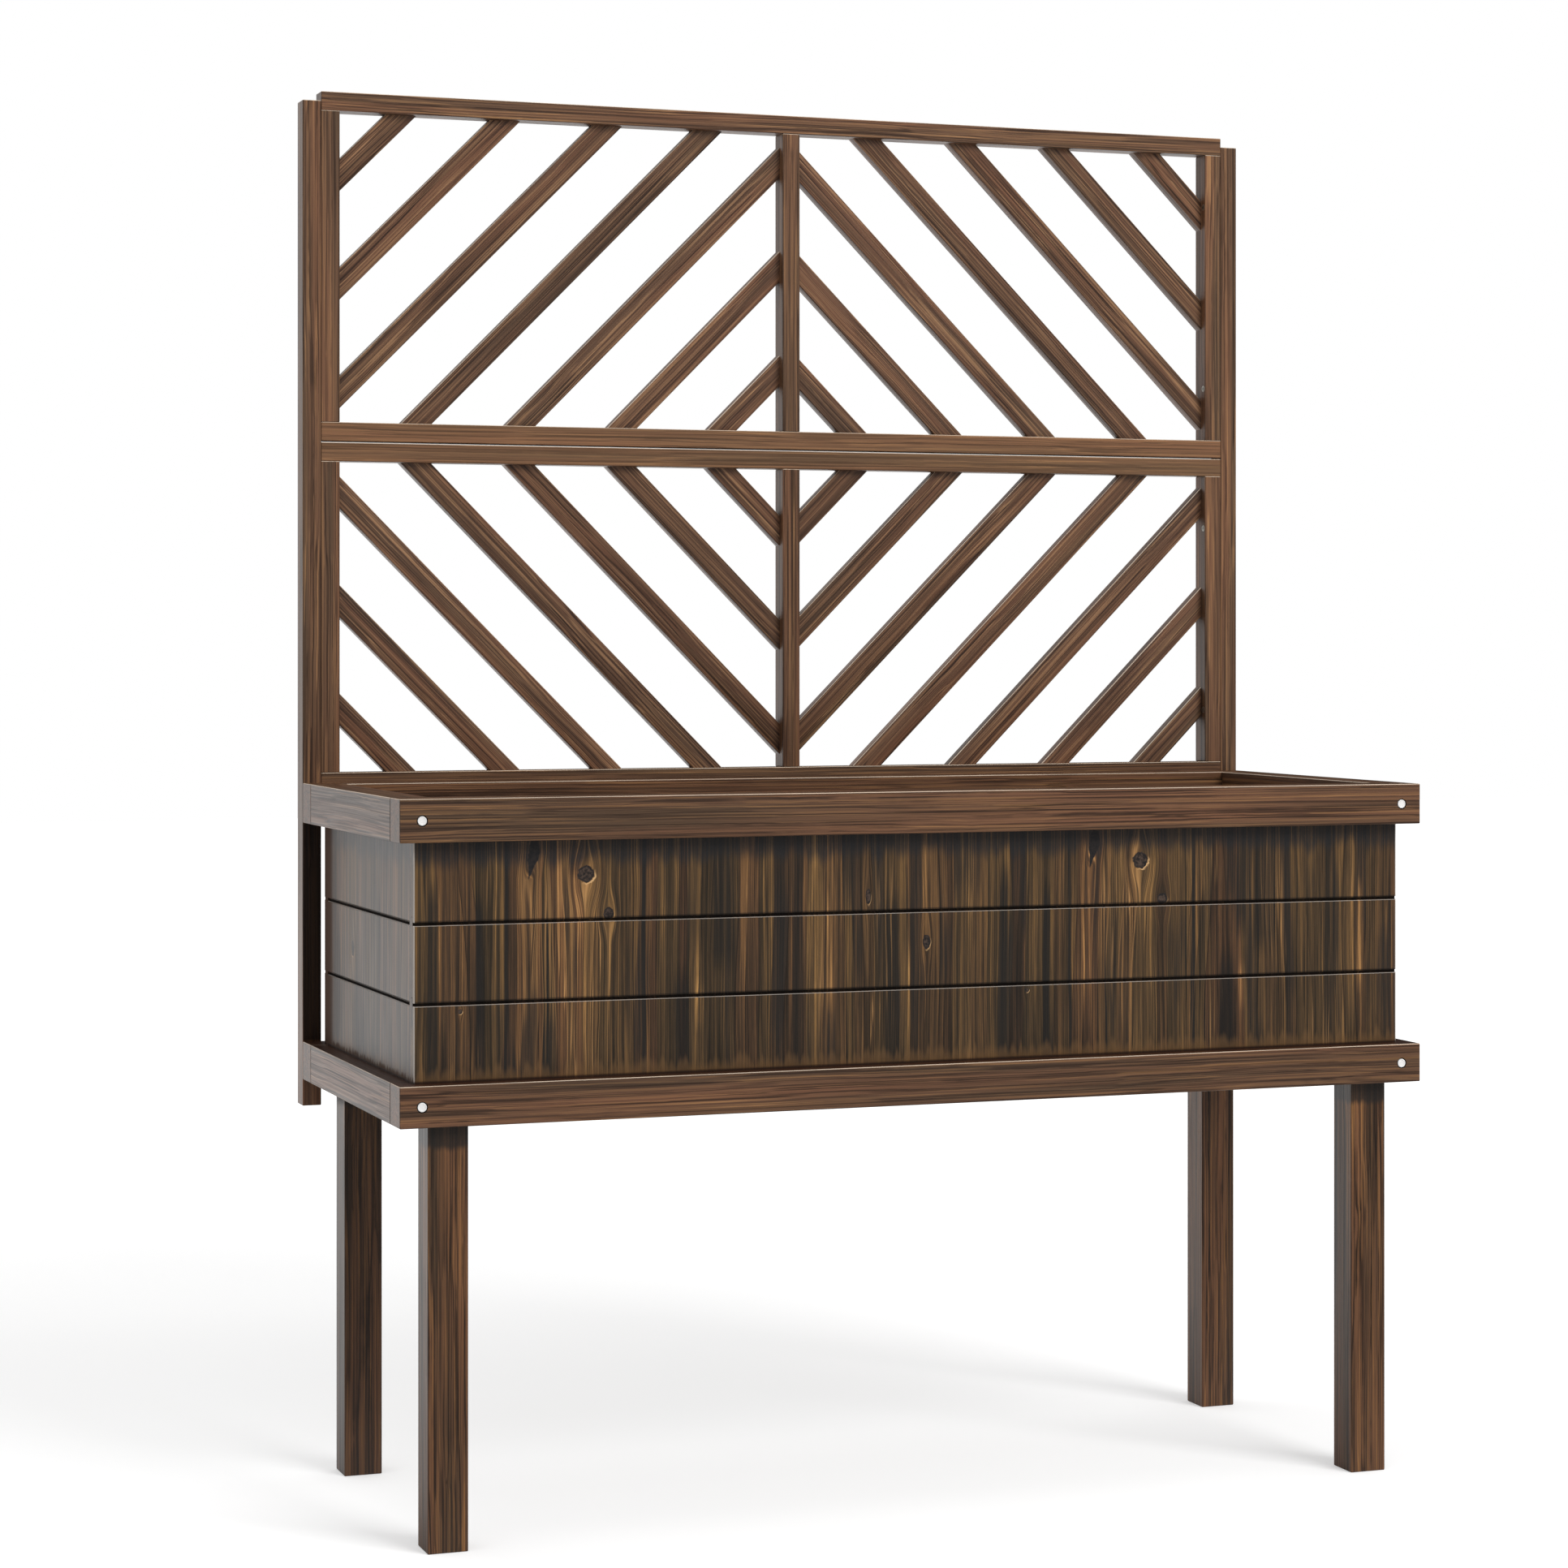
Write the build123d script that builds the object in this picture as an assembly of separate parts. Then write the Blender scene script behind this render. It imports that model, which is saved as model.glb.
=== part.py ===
from build123d import *

import os
from math import radians, tan

# A raised wooden planter on four legs, with a slatted trellis standing behind it.
#
# The planter is a box of grooved boards clamped between two rail frames. Four square
# legs carry the lower frame. Two slim posts are bolted to the backs of both frames
# and hold two framed trellis panels, one above the other.
#
# Millimetres. X runs along the planter, +Y points to the trellis, +Z points up.
# The origin lies on the floor under the middle of the whole object.

# ---------------------------------------------------------------- driving dimensions

# Rail frames
frame_length = 1100.0        # over the ends of the front and back rails
frame_depth = 420.0          # over the front and back rails, without the trellis
rail_thickness = 38.0        # width of every rail, seen from above
bottom_rail_height = 40.0
top_rail_height = 42.0
timber_arris = 1.2           # eased edges of rails, legs and inner timbers

# Legs
leg_length = 410.0
leg_width = 40.0             # along X
leg_depth = 38.0             # along Y
leg_inset_side = 32.0        # from the frame's end to the leg's outer face
leg_inset_face = 18.0        # from the frame's front or back face to the leg

# Walls of the box
wall_board_count = 3
wall_board_height = 77.0
wall_board_thickness = 14.0
wall_setback_side = 18.0
wall_setback_front = 19.0
wall_setback_back = 24.0
corner_arris = 1.2           # upright outer corners of the box
groove_height = 3.0          # shadow groove between two boards
groove_depth = 3.0
groove_bevel = 1.0           # on the board below the groove
tongue_thickness = 4.5
tongue_height = 5.0
tongue_clearance = 0.3

# Timbers inside the box
inner_post_size = 30.0       # square uprights in the corners and mid-wall
bearer_width = 34.0
bearer_height = 20.0
base_board_count = 4
base_board_thickness = 12.0
drain_gap = 8.0              # between two base boards

# Trellis
trellis_depth = 25.0         # posts and panel frames, along Y
post_width = 20.0
post_drop = 28.0             # post end below the lower frame
post_recess = 10.0           # post top below the top of the upper panel
panel_height = 370.0
panel_gap = 1.5              # between the two panels
panel_lap = 9.5              # lower panel reaching down behind the top back rail
panel_stock_width = 20.0
panel_arris = 1.0
slat_width = 24.0
slat_thickness = 14.0
slat_angle = 45.0
slat_pitch = 115.5           # between slats, measured up the centre stile
first_slat_height = 68.0     # first centre line on the centre stile, above its rail

# Bolts that join the rails and the posts
bolt_diameter = 6.0
bolt_head_diameter = 9.0
bolt_head_height = 3.0
bolt_crown_height = 1.4
bolt_recess_diameter = 11.0
bolt_reach = 45.0            # into the end of a side rail
bolt_clearance = 0.2
rail_bolt_inset = 22.0       # from the frame's end to the front bolts
nut_diameter = 10.0
nut_length = 20.0
nut_setting = 30.0           # from the side rail's end to the nut
nut_slot_width = 1.2
nut_slot_depth = 1.5

# Countersunk screws
screw_clearance = 0.1
recess_width = 0.8           # cross recess in a screw's head
recess_share = 0.6           # recess length over head diameter
recess_depth = 1.2
leg_screw_diameter = 6.0
leg_screw_head = 11.0
leg_screw_bite = 40.0        # into the leg
leg_screw_spacing = 18.0
wood_screw_diameter = 4.0
wood_screw_head = 7.5
wall_screw_bite = 9.0        # into a wall board
wall_screw_stagger = 12.0    # keeps the crossing screws of a corner apart
base_screw_bite = 15.0       # into a bearer
base_screw_spacing = 48.0
panel_screw_bite = 14.0      # into a trellis post
panel_screw_setting = 5.5    # from the front of the panel, ahead of the slats
panel_screw_inset = 60.0     # from the end of an outer stile

tool_overrun = 1.0           # how far a cutter starts outside the surface it cuts

# -------------------------------------------------------------------- derived places

left, right = -1, 1
front, back = -1, 1
sides = {"left": left, "right": right}
ends = {"front": front, "back": back}

half_length = frame_length / 2
front_face = -(frame_depth + trellis_depth) / 2      # outer face of the front rails
rear_face = front_face + frame_depth                 # outer face of the back rails
trellis_back = rear_face + trellis_depth

bottom_frame_base = leg_length
bottom_frame_top = bottom_frame_base + bottom_rail_height
box_top = bottom_frame_top + wall_board_count * wall_board_height
top_frame_top = box_top + top_rail_height

wall_setbacks = {"front": wall_setback_front, "back": wall_setback_back}
inside_of_side = wall_setback_side + wall_board_thickness
inside_of_end = {end: setback + wall_board_thickness for end, setback in wall_setbacks.items()}

lower_panel_base = top_frame_top - panel_lap
upper_panel_base = lower_panel_base + panel_height + panel_gap
trellis_top = upper_panel_base + panel_height
bay_width = half_length - post_width - 1.5 * panel_stock_width
bay_height = panel_height - 2 * panel_stock_width


def across(side, near, far):
    """X span between two distances measured inwards from one end of the frame."""
    return tuple(sorted((side * (half_length - near), side * (half_length - far))))


def along(end, near, far):
    """Y span between two distances measured inwards from the front or the rear face."""
    face = front_face if end == front else rear_face
    return tuple(sorted((face - end * near, face - end * far)))


def middle(span):
    return sum(span) / 2


# ------------------------------------------------------------------- general helpers

def block(x, y, z):
    """A plain block between two planes each way."""
    size = [high - low for low, high in (x, y, z)]
    return Pos(middle(x), middle(y), middle(z)) * Box(*size)


def timber(x, y, z, arris=timber_arris):
    """A squared timber between two planes each way, with all its edges eased."""
    return fillet(block(x, y, z).edges(), arris)


def turned(*outline):
    """A solid turned about Z from (radius, height) corners of half its section."""
    return revolve(Plane.XZ * make_face(Polyline(*outline, close=True)), Axis.Z)


def cut(piece, cutters):
    """The piece with its holes, leaving out the cutters that pass it by."""
    reach = piece.bounding_box()
    for cutter in cutters:
        if reach.overlaps(cutter.bounding_box()):
            piece = piece - cutter
    return piece


def save(node, *pieces):
    """Write the solids of one node to its STEP file."""
    solids = [solid for piece in pieces for solid in piece.solids()]
    shape = solids[0] if len(solids) == 1 else Compound(children=solids)
    shape.label = node
    export_step(shape, f"parts/{node}.step")
    print(node, len(solids))


# ------------------------------------------------------------------------- fasteners

def domed_bolt(length):
    """A round-headed bolt along -Z, the crown of its head touching z = 0."""
    head = bolt_head_diameter / 2
    stem = bolt_diameter / 2
    rim = (head, -bolt_crown_height)
    crown = TangentArc((0, 0), rim, tangent=(1, 0))
    rest = Polyline(rim, (head, -bolt_head_height), (stem, -bolt_head_height),
                    (stem, -length), (0, -length), (0, 0))
    return revolve(Plane.XZ * make_face(crown.edges() + rest.edges()), Axis.Z)


def bolt_hole(length):
    """The stepped hole of a domed bolt, which leaves a dark ring round its head."""
    recess = bolt_recess_diameter / 2
    bore = bolt_diameter / 2 + bolt_clearance
    end = -length - bolt_clearance
    return turned((0, tool_overrun), (recess, tool_overrun), (recess, -bolt_head_height),
                  (bore, -bolt_head_height), (bore, end), (0, end))


def barrel_nut():
    """An upright barrel nut round the origin, cross-bored for a bolt along Y."""
    half = nut_length / 2
    barrel = Cylinder(nut_diameter / 2, nut_length)
    bore = Cylinder(bolt_diameter / 2 + bolt_clearance, 2 * nut_diameter, rotation=(90, 0, 0))
    slot = Pos(0, 0, -half) * Box(2 * nut_diameter, nut_slot_width, 2 * nut_slot_depth)
    return barrel - bore - slot


def nut_hole(rail_height):
    """The blind hole of a barrel nut, drilled up from under a rail of this height."""
    top = nut_length / 2 + bolt_clearance
    start = -rail_height / 2 - tool_overrun
    radius = nut_diameter / 2 + bolt_clearance
    return turned((0, start), (radius, start), (radius, top), (0, top))


def countersunk_outline(length, diameter, head, clearance=0.0):
    """Half section of a countersunk screw along -Z, its flat head at z = 0."""
    shank = diameter / 2 + clearance
    rim = head / 2 + clearance
    cone = (head - diameter) / 2
    return [(rim, 0), (shank, -cone), (shank, diameter - length),
            (0, -length - clearance)]


def screw(length, diameter, head):
    recess = recess_share * head
    cross = Box(recess, recess_width, 2 * recess_depth) + Box(recess_width, recess, 2 * recess_depth)
    return turned((0, 0), *countersunk_outline(length, diameter, head)) - cross


def screw_hole(length, diameter, head):
    outline = countersunk_outline(length, diameter, head, screw_clearance)
    rim = (outline[0][0], tool_overrun)
    return turned((0, tool_overrun), rim, *outline)


def placed(shape, point, outwards):
    """A fastener or its hole set at a point, its head facing outwards."""
    return Plane(origin=point, z_dir=outwards) * shape


frame_levels = {
    "bottom": (bottom_frame_base, bottom_frame_top),
    "top": (box_top, top_frame_top),
}

rail_bolts, post_bolts, barrel_nuts = [], [], []
frame_holes = []             # bolt and nut holes of the rails and posts


def join_rails(side, level):
    """The two bolts, with their nuts, that close one end of one rail frame."""
    height = middle(level)
    rail_height = level[1] - level[0]
    joints = {
        front: (half_length - rail_bolt_inset, front_face, 0.0, rail_bolts),
        back: (half_length - post_width / 2, trellis_back, trellis_depth, post_bolts),
    }
    for end, (offset, head_face, extra, bolts) in joints.items():
        length = extra + rail_thickness + bolt_reach
        nut_y = head_face - end * (extra + rail_thickness + nut_setting)
        point = (side * offset, head_face, height)
        nut_place = Pos(side * offset, nut_y, height)
        bolts.append(placed(domed_bolt(length), point, (0, end, 0)))
        barrel_nuts.append(nut_place * barrel_nut())
        frame_holes.append(placed(bolt_hole(length), point, (0, end, 0)))
        frame_holes.append(nut_place * nut_hole(rail_height))


for side in sides.values():
    for level in frame_levels.values():
        join_rails(side, level)

# ------------------------------------------------------------------ legs and screws

leg_spans = {
    f"{end}_{side}": (
        across(sides[side], leg_inset_side, leg_inset_side + leg_width),
        along(ends[end], leg_inset_face, leg_inset_face + leg_depth),
    )
    for end in ends for side in sides
}

leg_screws, leg_holes = [], []
for end in ends:
    wall_span = along(ends[end], wall_setbacks[end], inside_of_end[end])
    for side in sides:
        leg_x = middle(leg_spans[f"{end}_{side}"][0])
        for step in (-leg_screw_spacing / 2, leg_screw_spacing / 2):
            # The heads lie under the wall, flush with the top of the rail.
            point = (leg_x + step, middle(wall_span), bottom_frame_top)
            form = (bottom_rail_height + leg_screw_bite, leg_screw_diameter, leg_screw_head)
            leg_screws.append(placed(screw(*form), point, (0, 0, 1)))
            leg_holes.append(placed(screw_hole(*form), point, (0, 0, 1)))

legs = {
    f"leg_{name}": cut(timber(x, y, (0.0, leg_length)), leg_holes)
    for name, (x, y) in leg_spans.items()
}

# ----------------------------------------------------------------------- rail frames

rails = {}
for name, level in frame_levels.items():
    for end in ends:
        y = along(ends[end], 0.0, rail_thickness)
        rail = timber((-half_length, half_length), y, level)
        rails[f"{name}_rail_{end}"] = cut(rail, frame_holes + leg_holes)
    for side in sides:
        x = across(sides[side], 0.0, rail_thickness)
        y = (front_face + rail_thickness, rear_face - rail_thickness)
        rails[f"{name}_rail_{side}"] = cut(timber(x, y, level), frame_holes)

# ----------------------------------------------------------- uprights inside the box

upright_z = (bottom_frame_top, box_top)
upright_spans = {}
for end in ends:
    y = along(ends[end], inside_of_end[end], inside_of_end[end] + inner_post_size)
    for side in sides:
        x = across(sides[side], inside_of_side, inside_of_side + inner_post_size)
        upright_spans[f"corner_post_{end}_{side}"] = (x, y, ends[end], sides[side])
    x = (-inner_post_size / 2, inner_post_size / 2)
    upright_spans[f"mid_post_{end}"] = (x, y, ends[end], None)

wall_screws, wall_holes = [], []


def fasten_board(x, y, height, end, side):
    """Screws from an upright into the board in front of it and beside it."""
    form = (inner_post_size + wall_screw_bite, wood_screw_diameter, wood_screw_head)
    inner_y = y[0] if end == back else y[1]
    places = [((middle(x), inner_y, height + wall_screw_stagger), (0, -end, 0))]
    if side is not None:
        inner_x = x[0] if side == right else x[1]
        places.append(((inner_x, middle(y), height - wall_screw_stagger), (-side, 0, 0)))
    for point, outwards in places:
        wall_screws.append(placed(screw(*form), point, outwards))
        wall_holes.append(placed(screw_hole(*form), point, outwards))


for x, y, end, side in upright_spans.values():
    for row in range(wall_board_count):
        fasten_board(x, y, bottom_frame_top + (row + 0.5) * wall_board_height, end, side)

uprights = {
    name: cut(timber(x, y, upright_z), wall_holes)
    for name, (x, y, end, side) in upright_spans.items()
}

# ------------------------------------------------------------------------ wall boards

def board_section(has_slot, has_tongue):
    """Section of a wall board: outer face on y = 0, bottom edge on z = 0."""
    tongue = (groove_depth, groove_depth + tongue_thickness)
    slot = (tongue[0] - tongue_clearance, tongue[1] + tongue_clearance)
    slot_top = tongue_height + tongue_clearance
    shoulder = wall_board_height - groove_height
    below = [(0, 0)]
    if has_slot:
        below += [(slot[0], 0), (slot[0], slot_top), (slot[1], slot_top), (slot[1], 0)]
    below.append((wall_board_thickness, 0))
    if has_tongue:
        above = [(wall_board_thickness, wall_board_height), (tongue[1], wall_board_height),
                 (tongue[1], wall_board_height + tongue_height),
                 (tongue[0], wall_board_height + tongue_height),
                 (tongue[0], shoulder), (groove_bevel, shoulder), (0, shoulder - groove_bevel)]
    else:
        above = [(wall_board_thickness, wall_board_height), (0, wall_board_height)]
    return Plane.YZ * make_face(Polyline(*below, *above, close=True))


def wall_board(length, row, corner):
    """One board centred on X, its outer face looking to -Y, in its row of the wall.

    A tongue fits into the slot of the board above it, so the lowest board has no slot
    and the highest no tongue.
    """
    section = board_section(has_slot=row > 0, has_tongue=row < wall_board_count - 1)
    board = extrude(section, length / 2, both=True)
    if corner:
        outer = board.edges().filter_by(Axis.Z).group_by(Axis.Y)[0]
        board = fillet(outer, corner)
    return Pos(0, 0, bottom_frame_top + row * wall_board_height) * board


row_names = ["lower", "middle", "upper"]
long_board = frame_length - 2 * wall_setback_side
short_board = frame_depth - sum(inside_of_end.values())
front_wall = front_face + wall_setback_front
back_wall = rear_face - wall_setback_back
side_wall = half_length - wall_setback_side
side_wall_y = (front_face + inside_of_end["front"] + rear_face - inside_of_end["back"]) / 2

# Each wall: board length, eased corner, and the place and turn of the board.
walls = {
    "front": (long_board, corner_arris, Pos(0, front_wall, 0)),
    "back": (long_board, corner_arris, Pos(0, back_wall, 0) * Rot(Z=180)),
    "left": (short_board, 0.0, Pos(-side_wall, side_wall_y, 0) * Rot(Z=-90)),
    "right": (short_board, 0.0, Pos(side_wall, side_wall_y, 0) * Rot(Z=90)),
}

wall_boards = {}
for wall, (length, corner, place) in walls.items():
    for row in range(wall_board_count):
        name = row_names[row] if row < len(row_names) else f"row{row + 1}"
        board = place * wall_board(length, row, corner)
        wall_boards[f"wall_board_{wall}_{name}"] = cut(board, wall_holes)

# ------------------------------------------------------------------------- box floor

bearer_z = (bottom_frame_base, bottom_frame_base + bearer_height)
base_z = (bearer_z[1], bearer_z[1] + base_board_thickness)
floor_y = (front_face + rail_thickness, rear_face - rail_thickness)
floor_x = (-half_length + rail_thickness, half_length - rail_thickness)
base_pitch = (floor_y[1] - floor_y[0] + drain_gap) / base_board_count
base_board_width = base_pitch - drain_gap

bearer_spans = {
    "left": across(left, rail_thickness, rail_thickness + bearer_width),
    "middle": (-bearer_width / 2, bearer_width / 2),
    "right": across(right, rail_thickness, rail_thickness + bearer_width),
}
base_rows = [floor_y[0] + base_board_width / 2 + row * base_pitch for row in range(base_board_count)]

base_screws, base_holes = [], []
for bearer in bearer_spans.values():
    for row_y in base_rows:
        for step in (-base_screw_spacing / 2, base_screw_spacing / 2):
            point = (middle(bearer), row_y + step, base_z[1])
            form = (base_board_thickness + base_screw_bite, wood_screw_diameter, wood_screw_head)
            base_screws.append(placed(screw(*form), point, (0, 0, 1)))
            base_holes.append(placed(screw_hole(*form), point, (0, 0, 1)))

bearers = {
    f"bearer_{name}": cut(timber(x, floor_y, bearer_z), base_holes)
    for name, x in bearer_spans.items()
}
base_boards = {}
for row, row_y in enumerate(base_rows):
    y = (row_y - base_board_width / 2, row_y + base_board_width / 2)
    base_boards[f"base_board_{row + 1}"] = cut(timber(floor_x, y, base_z), base_holes)

# --------------------------------------------------------------------------- trellis

trellis_y = (rear_face, trellis_back)
post_z = (bottom_frame_base - post_drop, trellis_top - post_recess)
panel_x = (-half_length + post_width, half_length - post_width)
panels = {"upper": (upper_panel_base, 1), "lower": (lower_panel_base, -1)}

panel_screws, panel_holes = [], []
for base, _ in panels.values():
    stile_ends = (base + panel_stock_width, base + panel_height - panel_stock_width)
    for side in sides.values():
        x = side * (half_length - post_width - panel_stock_width)
        for z in (stile_ends[0] + panel_screw_inset, stile_ends[1] - panel_screw_inset):
            point = (x, rear_face + panel_screw_setting, z)
            form = (panel_stock_width + panel_screw_bite, wood_screw_diameter, wood_screw_head)
            panel_screws.append(placed(screw(*form), point, (-side, 0, 0)))
            panel_holes.append(placed(screw_hole(*form), point, (-side, 0, 0)))

posts = {}
for name, side in sides.items():
    post = timber(across(side, 0.0, post_width), trellis_y, post_z, panel_arris)
    posts[f"trellis_post_{name}"] = cut(post, frame_holes + panel_holes)


def panel_frame(panel, base):
    """The two rails and three stiles of one trellis panel, standing on z = base."""
    top = base + panel_height
    stile_z = (base + panel_stock_width, top - panel_stock_width)
    half_stock = panel_stock_width / 2
    spans = {
        "rail_top": (panel_x, (stile_z[1], top)),
        "rail_bottom": (panel_x, (base, stile_z[0])),
        "stile_left": ((panel_x[0], panel_x[0] + panel_stock_width), stile_z),
        "stile_centre": ((-half_stock, half_stock), stile_z),
        "stile_right": ((panel_x[1] - panel_stock_width, panel_x[1]), stile_z),
    }
    return {
        f"{panel}_{name}": cut(timber(x, trellis_y, z, panel_arris), panel_holes)
        for name, (x, z) in spans.items()
    }


def panel_slats(base, up, side):
    """The slanting slats of one half of a panel.

    They fall outwards from the centre stile where up is 1, and rise outwards where
    it is -1. Each is sawn off flush with the stiles and rails, and lies flush with
    the back of the panel.
    """
    bay_x = tuple(sorted((side * panel_stock_width / 2, side * (panel_stock_width / 2 + bay_width))))
    bay_z = (base + panel_stock_width, base + panel_height - panel_stock_width)
    bay = block(bay_x, trellis_y, bay_z)
    start = bay_z[0] if up == 1 else bay_z[1]
    rise_over_bay = bay_width * tan(radians(slat_angle))
    count = int((bay_height + rise_over_bay - first_slat_height) / slat_pitch) + 1
    reach = 2 * (bay_width + bay_height)
    stick = Box(reach, slat_thickness, slat_width)
    stick = fillet(stick.edges().filter_by(Axis.X), panel_arris)
    slat_y = trellis_back - slat_thickness / 2
    slats = []
    for number in range(count):
        z = start + up * (first_slat_height + number * slat_pitch)
        turn = Rot(Y=side * up * slat_angle)
        slats.append(bay & (Pos(side * panel_stock_width / 2, slat_y, z) * turn * stick))
    return slats


panel_members = {}
slat_groups = {}
for panel, (base, up) in panels.items():
    panel_members.update(panel_frame(panel, base))
    for name, side in sides.items():
        slat_groups[f"{panel}_slats_{name}"] = panel_slats(base, up, side)

# ---------------------------------------------------------------------------- output

fasteners = {
    "rail_bolts": rail_bolts,
    "post_bolts": post_bolts,
    "barrel_nuts": barrel_nuts,
    "leg_screws": leg_screws,
    "wall_screws": wall_screws,
    "base_screws": base_screws,
    "panel_screws": panel_screws,
}

os.makedirs("parts", exist_ok=True)
for group in (legs, rails, wall_boards, uprights, bearers, base_boards, posts, panel_members):
    for node, piece in group.items():
        save(node, piece)
for group in (slat_groups, fasteners):
    for node, pieces in group.items():
        save(node, *pieces)
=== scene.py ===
# %% [markdown]
# # A raised planter with a trellis
#
# The planter is joinery: square legs, two rail frames, a box of scorched boards and
# a trellis of slanting slats. The joinery is already modelled at full size, so
# this script gives each piece its finish, makes again the pieces that repeat, and
# sets the light and the camera. Every length is in metres, in the joinery's frame.

# %% Load the joinery
import math
import random

import bpy
from mathutils import Euler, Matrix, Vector


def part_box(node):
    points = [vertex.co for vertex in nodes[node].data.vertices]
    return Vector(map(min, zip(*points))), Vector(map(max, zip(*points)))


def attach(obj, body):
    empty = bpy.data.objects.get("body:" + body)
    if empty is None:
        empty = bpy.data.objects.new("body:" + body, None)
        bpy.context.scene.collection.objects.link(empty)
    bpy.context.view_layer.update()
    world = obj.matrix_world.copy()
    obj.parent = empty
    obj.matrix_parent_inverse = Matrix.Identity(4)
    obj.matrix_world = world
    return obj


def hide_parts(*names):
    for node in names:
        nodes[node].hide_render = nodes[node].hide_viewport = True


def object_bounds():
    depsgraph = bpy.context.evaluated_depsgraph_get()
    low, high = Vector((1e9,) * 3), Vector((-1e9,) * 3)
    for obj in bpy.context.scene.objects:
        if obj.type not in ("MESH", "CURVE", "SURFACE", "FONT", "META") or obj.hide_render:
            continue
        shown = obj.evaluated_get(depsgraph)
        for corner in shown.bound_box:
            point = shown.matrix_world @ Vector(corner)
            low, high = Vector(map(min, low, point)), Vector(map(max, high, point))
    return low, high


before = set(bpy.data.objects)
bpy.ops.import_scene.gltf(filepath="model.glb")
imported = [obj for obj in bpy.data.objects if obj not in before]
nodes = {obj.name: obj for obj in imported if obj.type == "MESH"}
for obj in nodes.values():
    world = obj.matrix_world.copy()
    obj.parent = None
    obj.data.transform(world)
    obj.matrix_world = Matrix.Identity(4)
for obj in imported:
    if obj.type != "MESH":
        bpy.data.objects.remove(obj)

cad_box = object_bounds()
print("pieces of joinery:", len(nodes))
print("whole object:", [[round(v, 3) for v in corner] for corner in cad_box])

# %% [markdown]
# ## Sizes come from the joinery
#
# A rail's height, the box's corners and the trellis bays are read from the bounding
# boxes of the pieces that carry them. The sections of the slats, bolts and screws and
# the pitch of the slats are written again where those are made.

# %% A piece's corners and middle
def span(node):
    """Lowest corner, highest corner and centre of a piece."""
    low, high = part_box(node)
    return low, high, (low + high) / 2


floor_level = span("leg_front_left")[0].z
leg_top = span("leg_front_left")[1].z
wall_foot = span("wall_board_front_lower")[0].z
wall_head = span("wall_board_front_upper")[1].z
print("legs end at", round(leg_top, 3), "and the wall runs", round(wall_foot, 3), "to", round(wall_head, 3))

# %% [markdown]
# ## A short hand for node trees
#
# A finish is a long chain of small sums, and in Blender each sum is a node. This
# helper keeps every step to one line, so that a finish reads like a recipe. The same
# helper writes shader trees and geometry trees.

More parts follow.
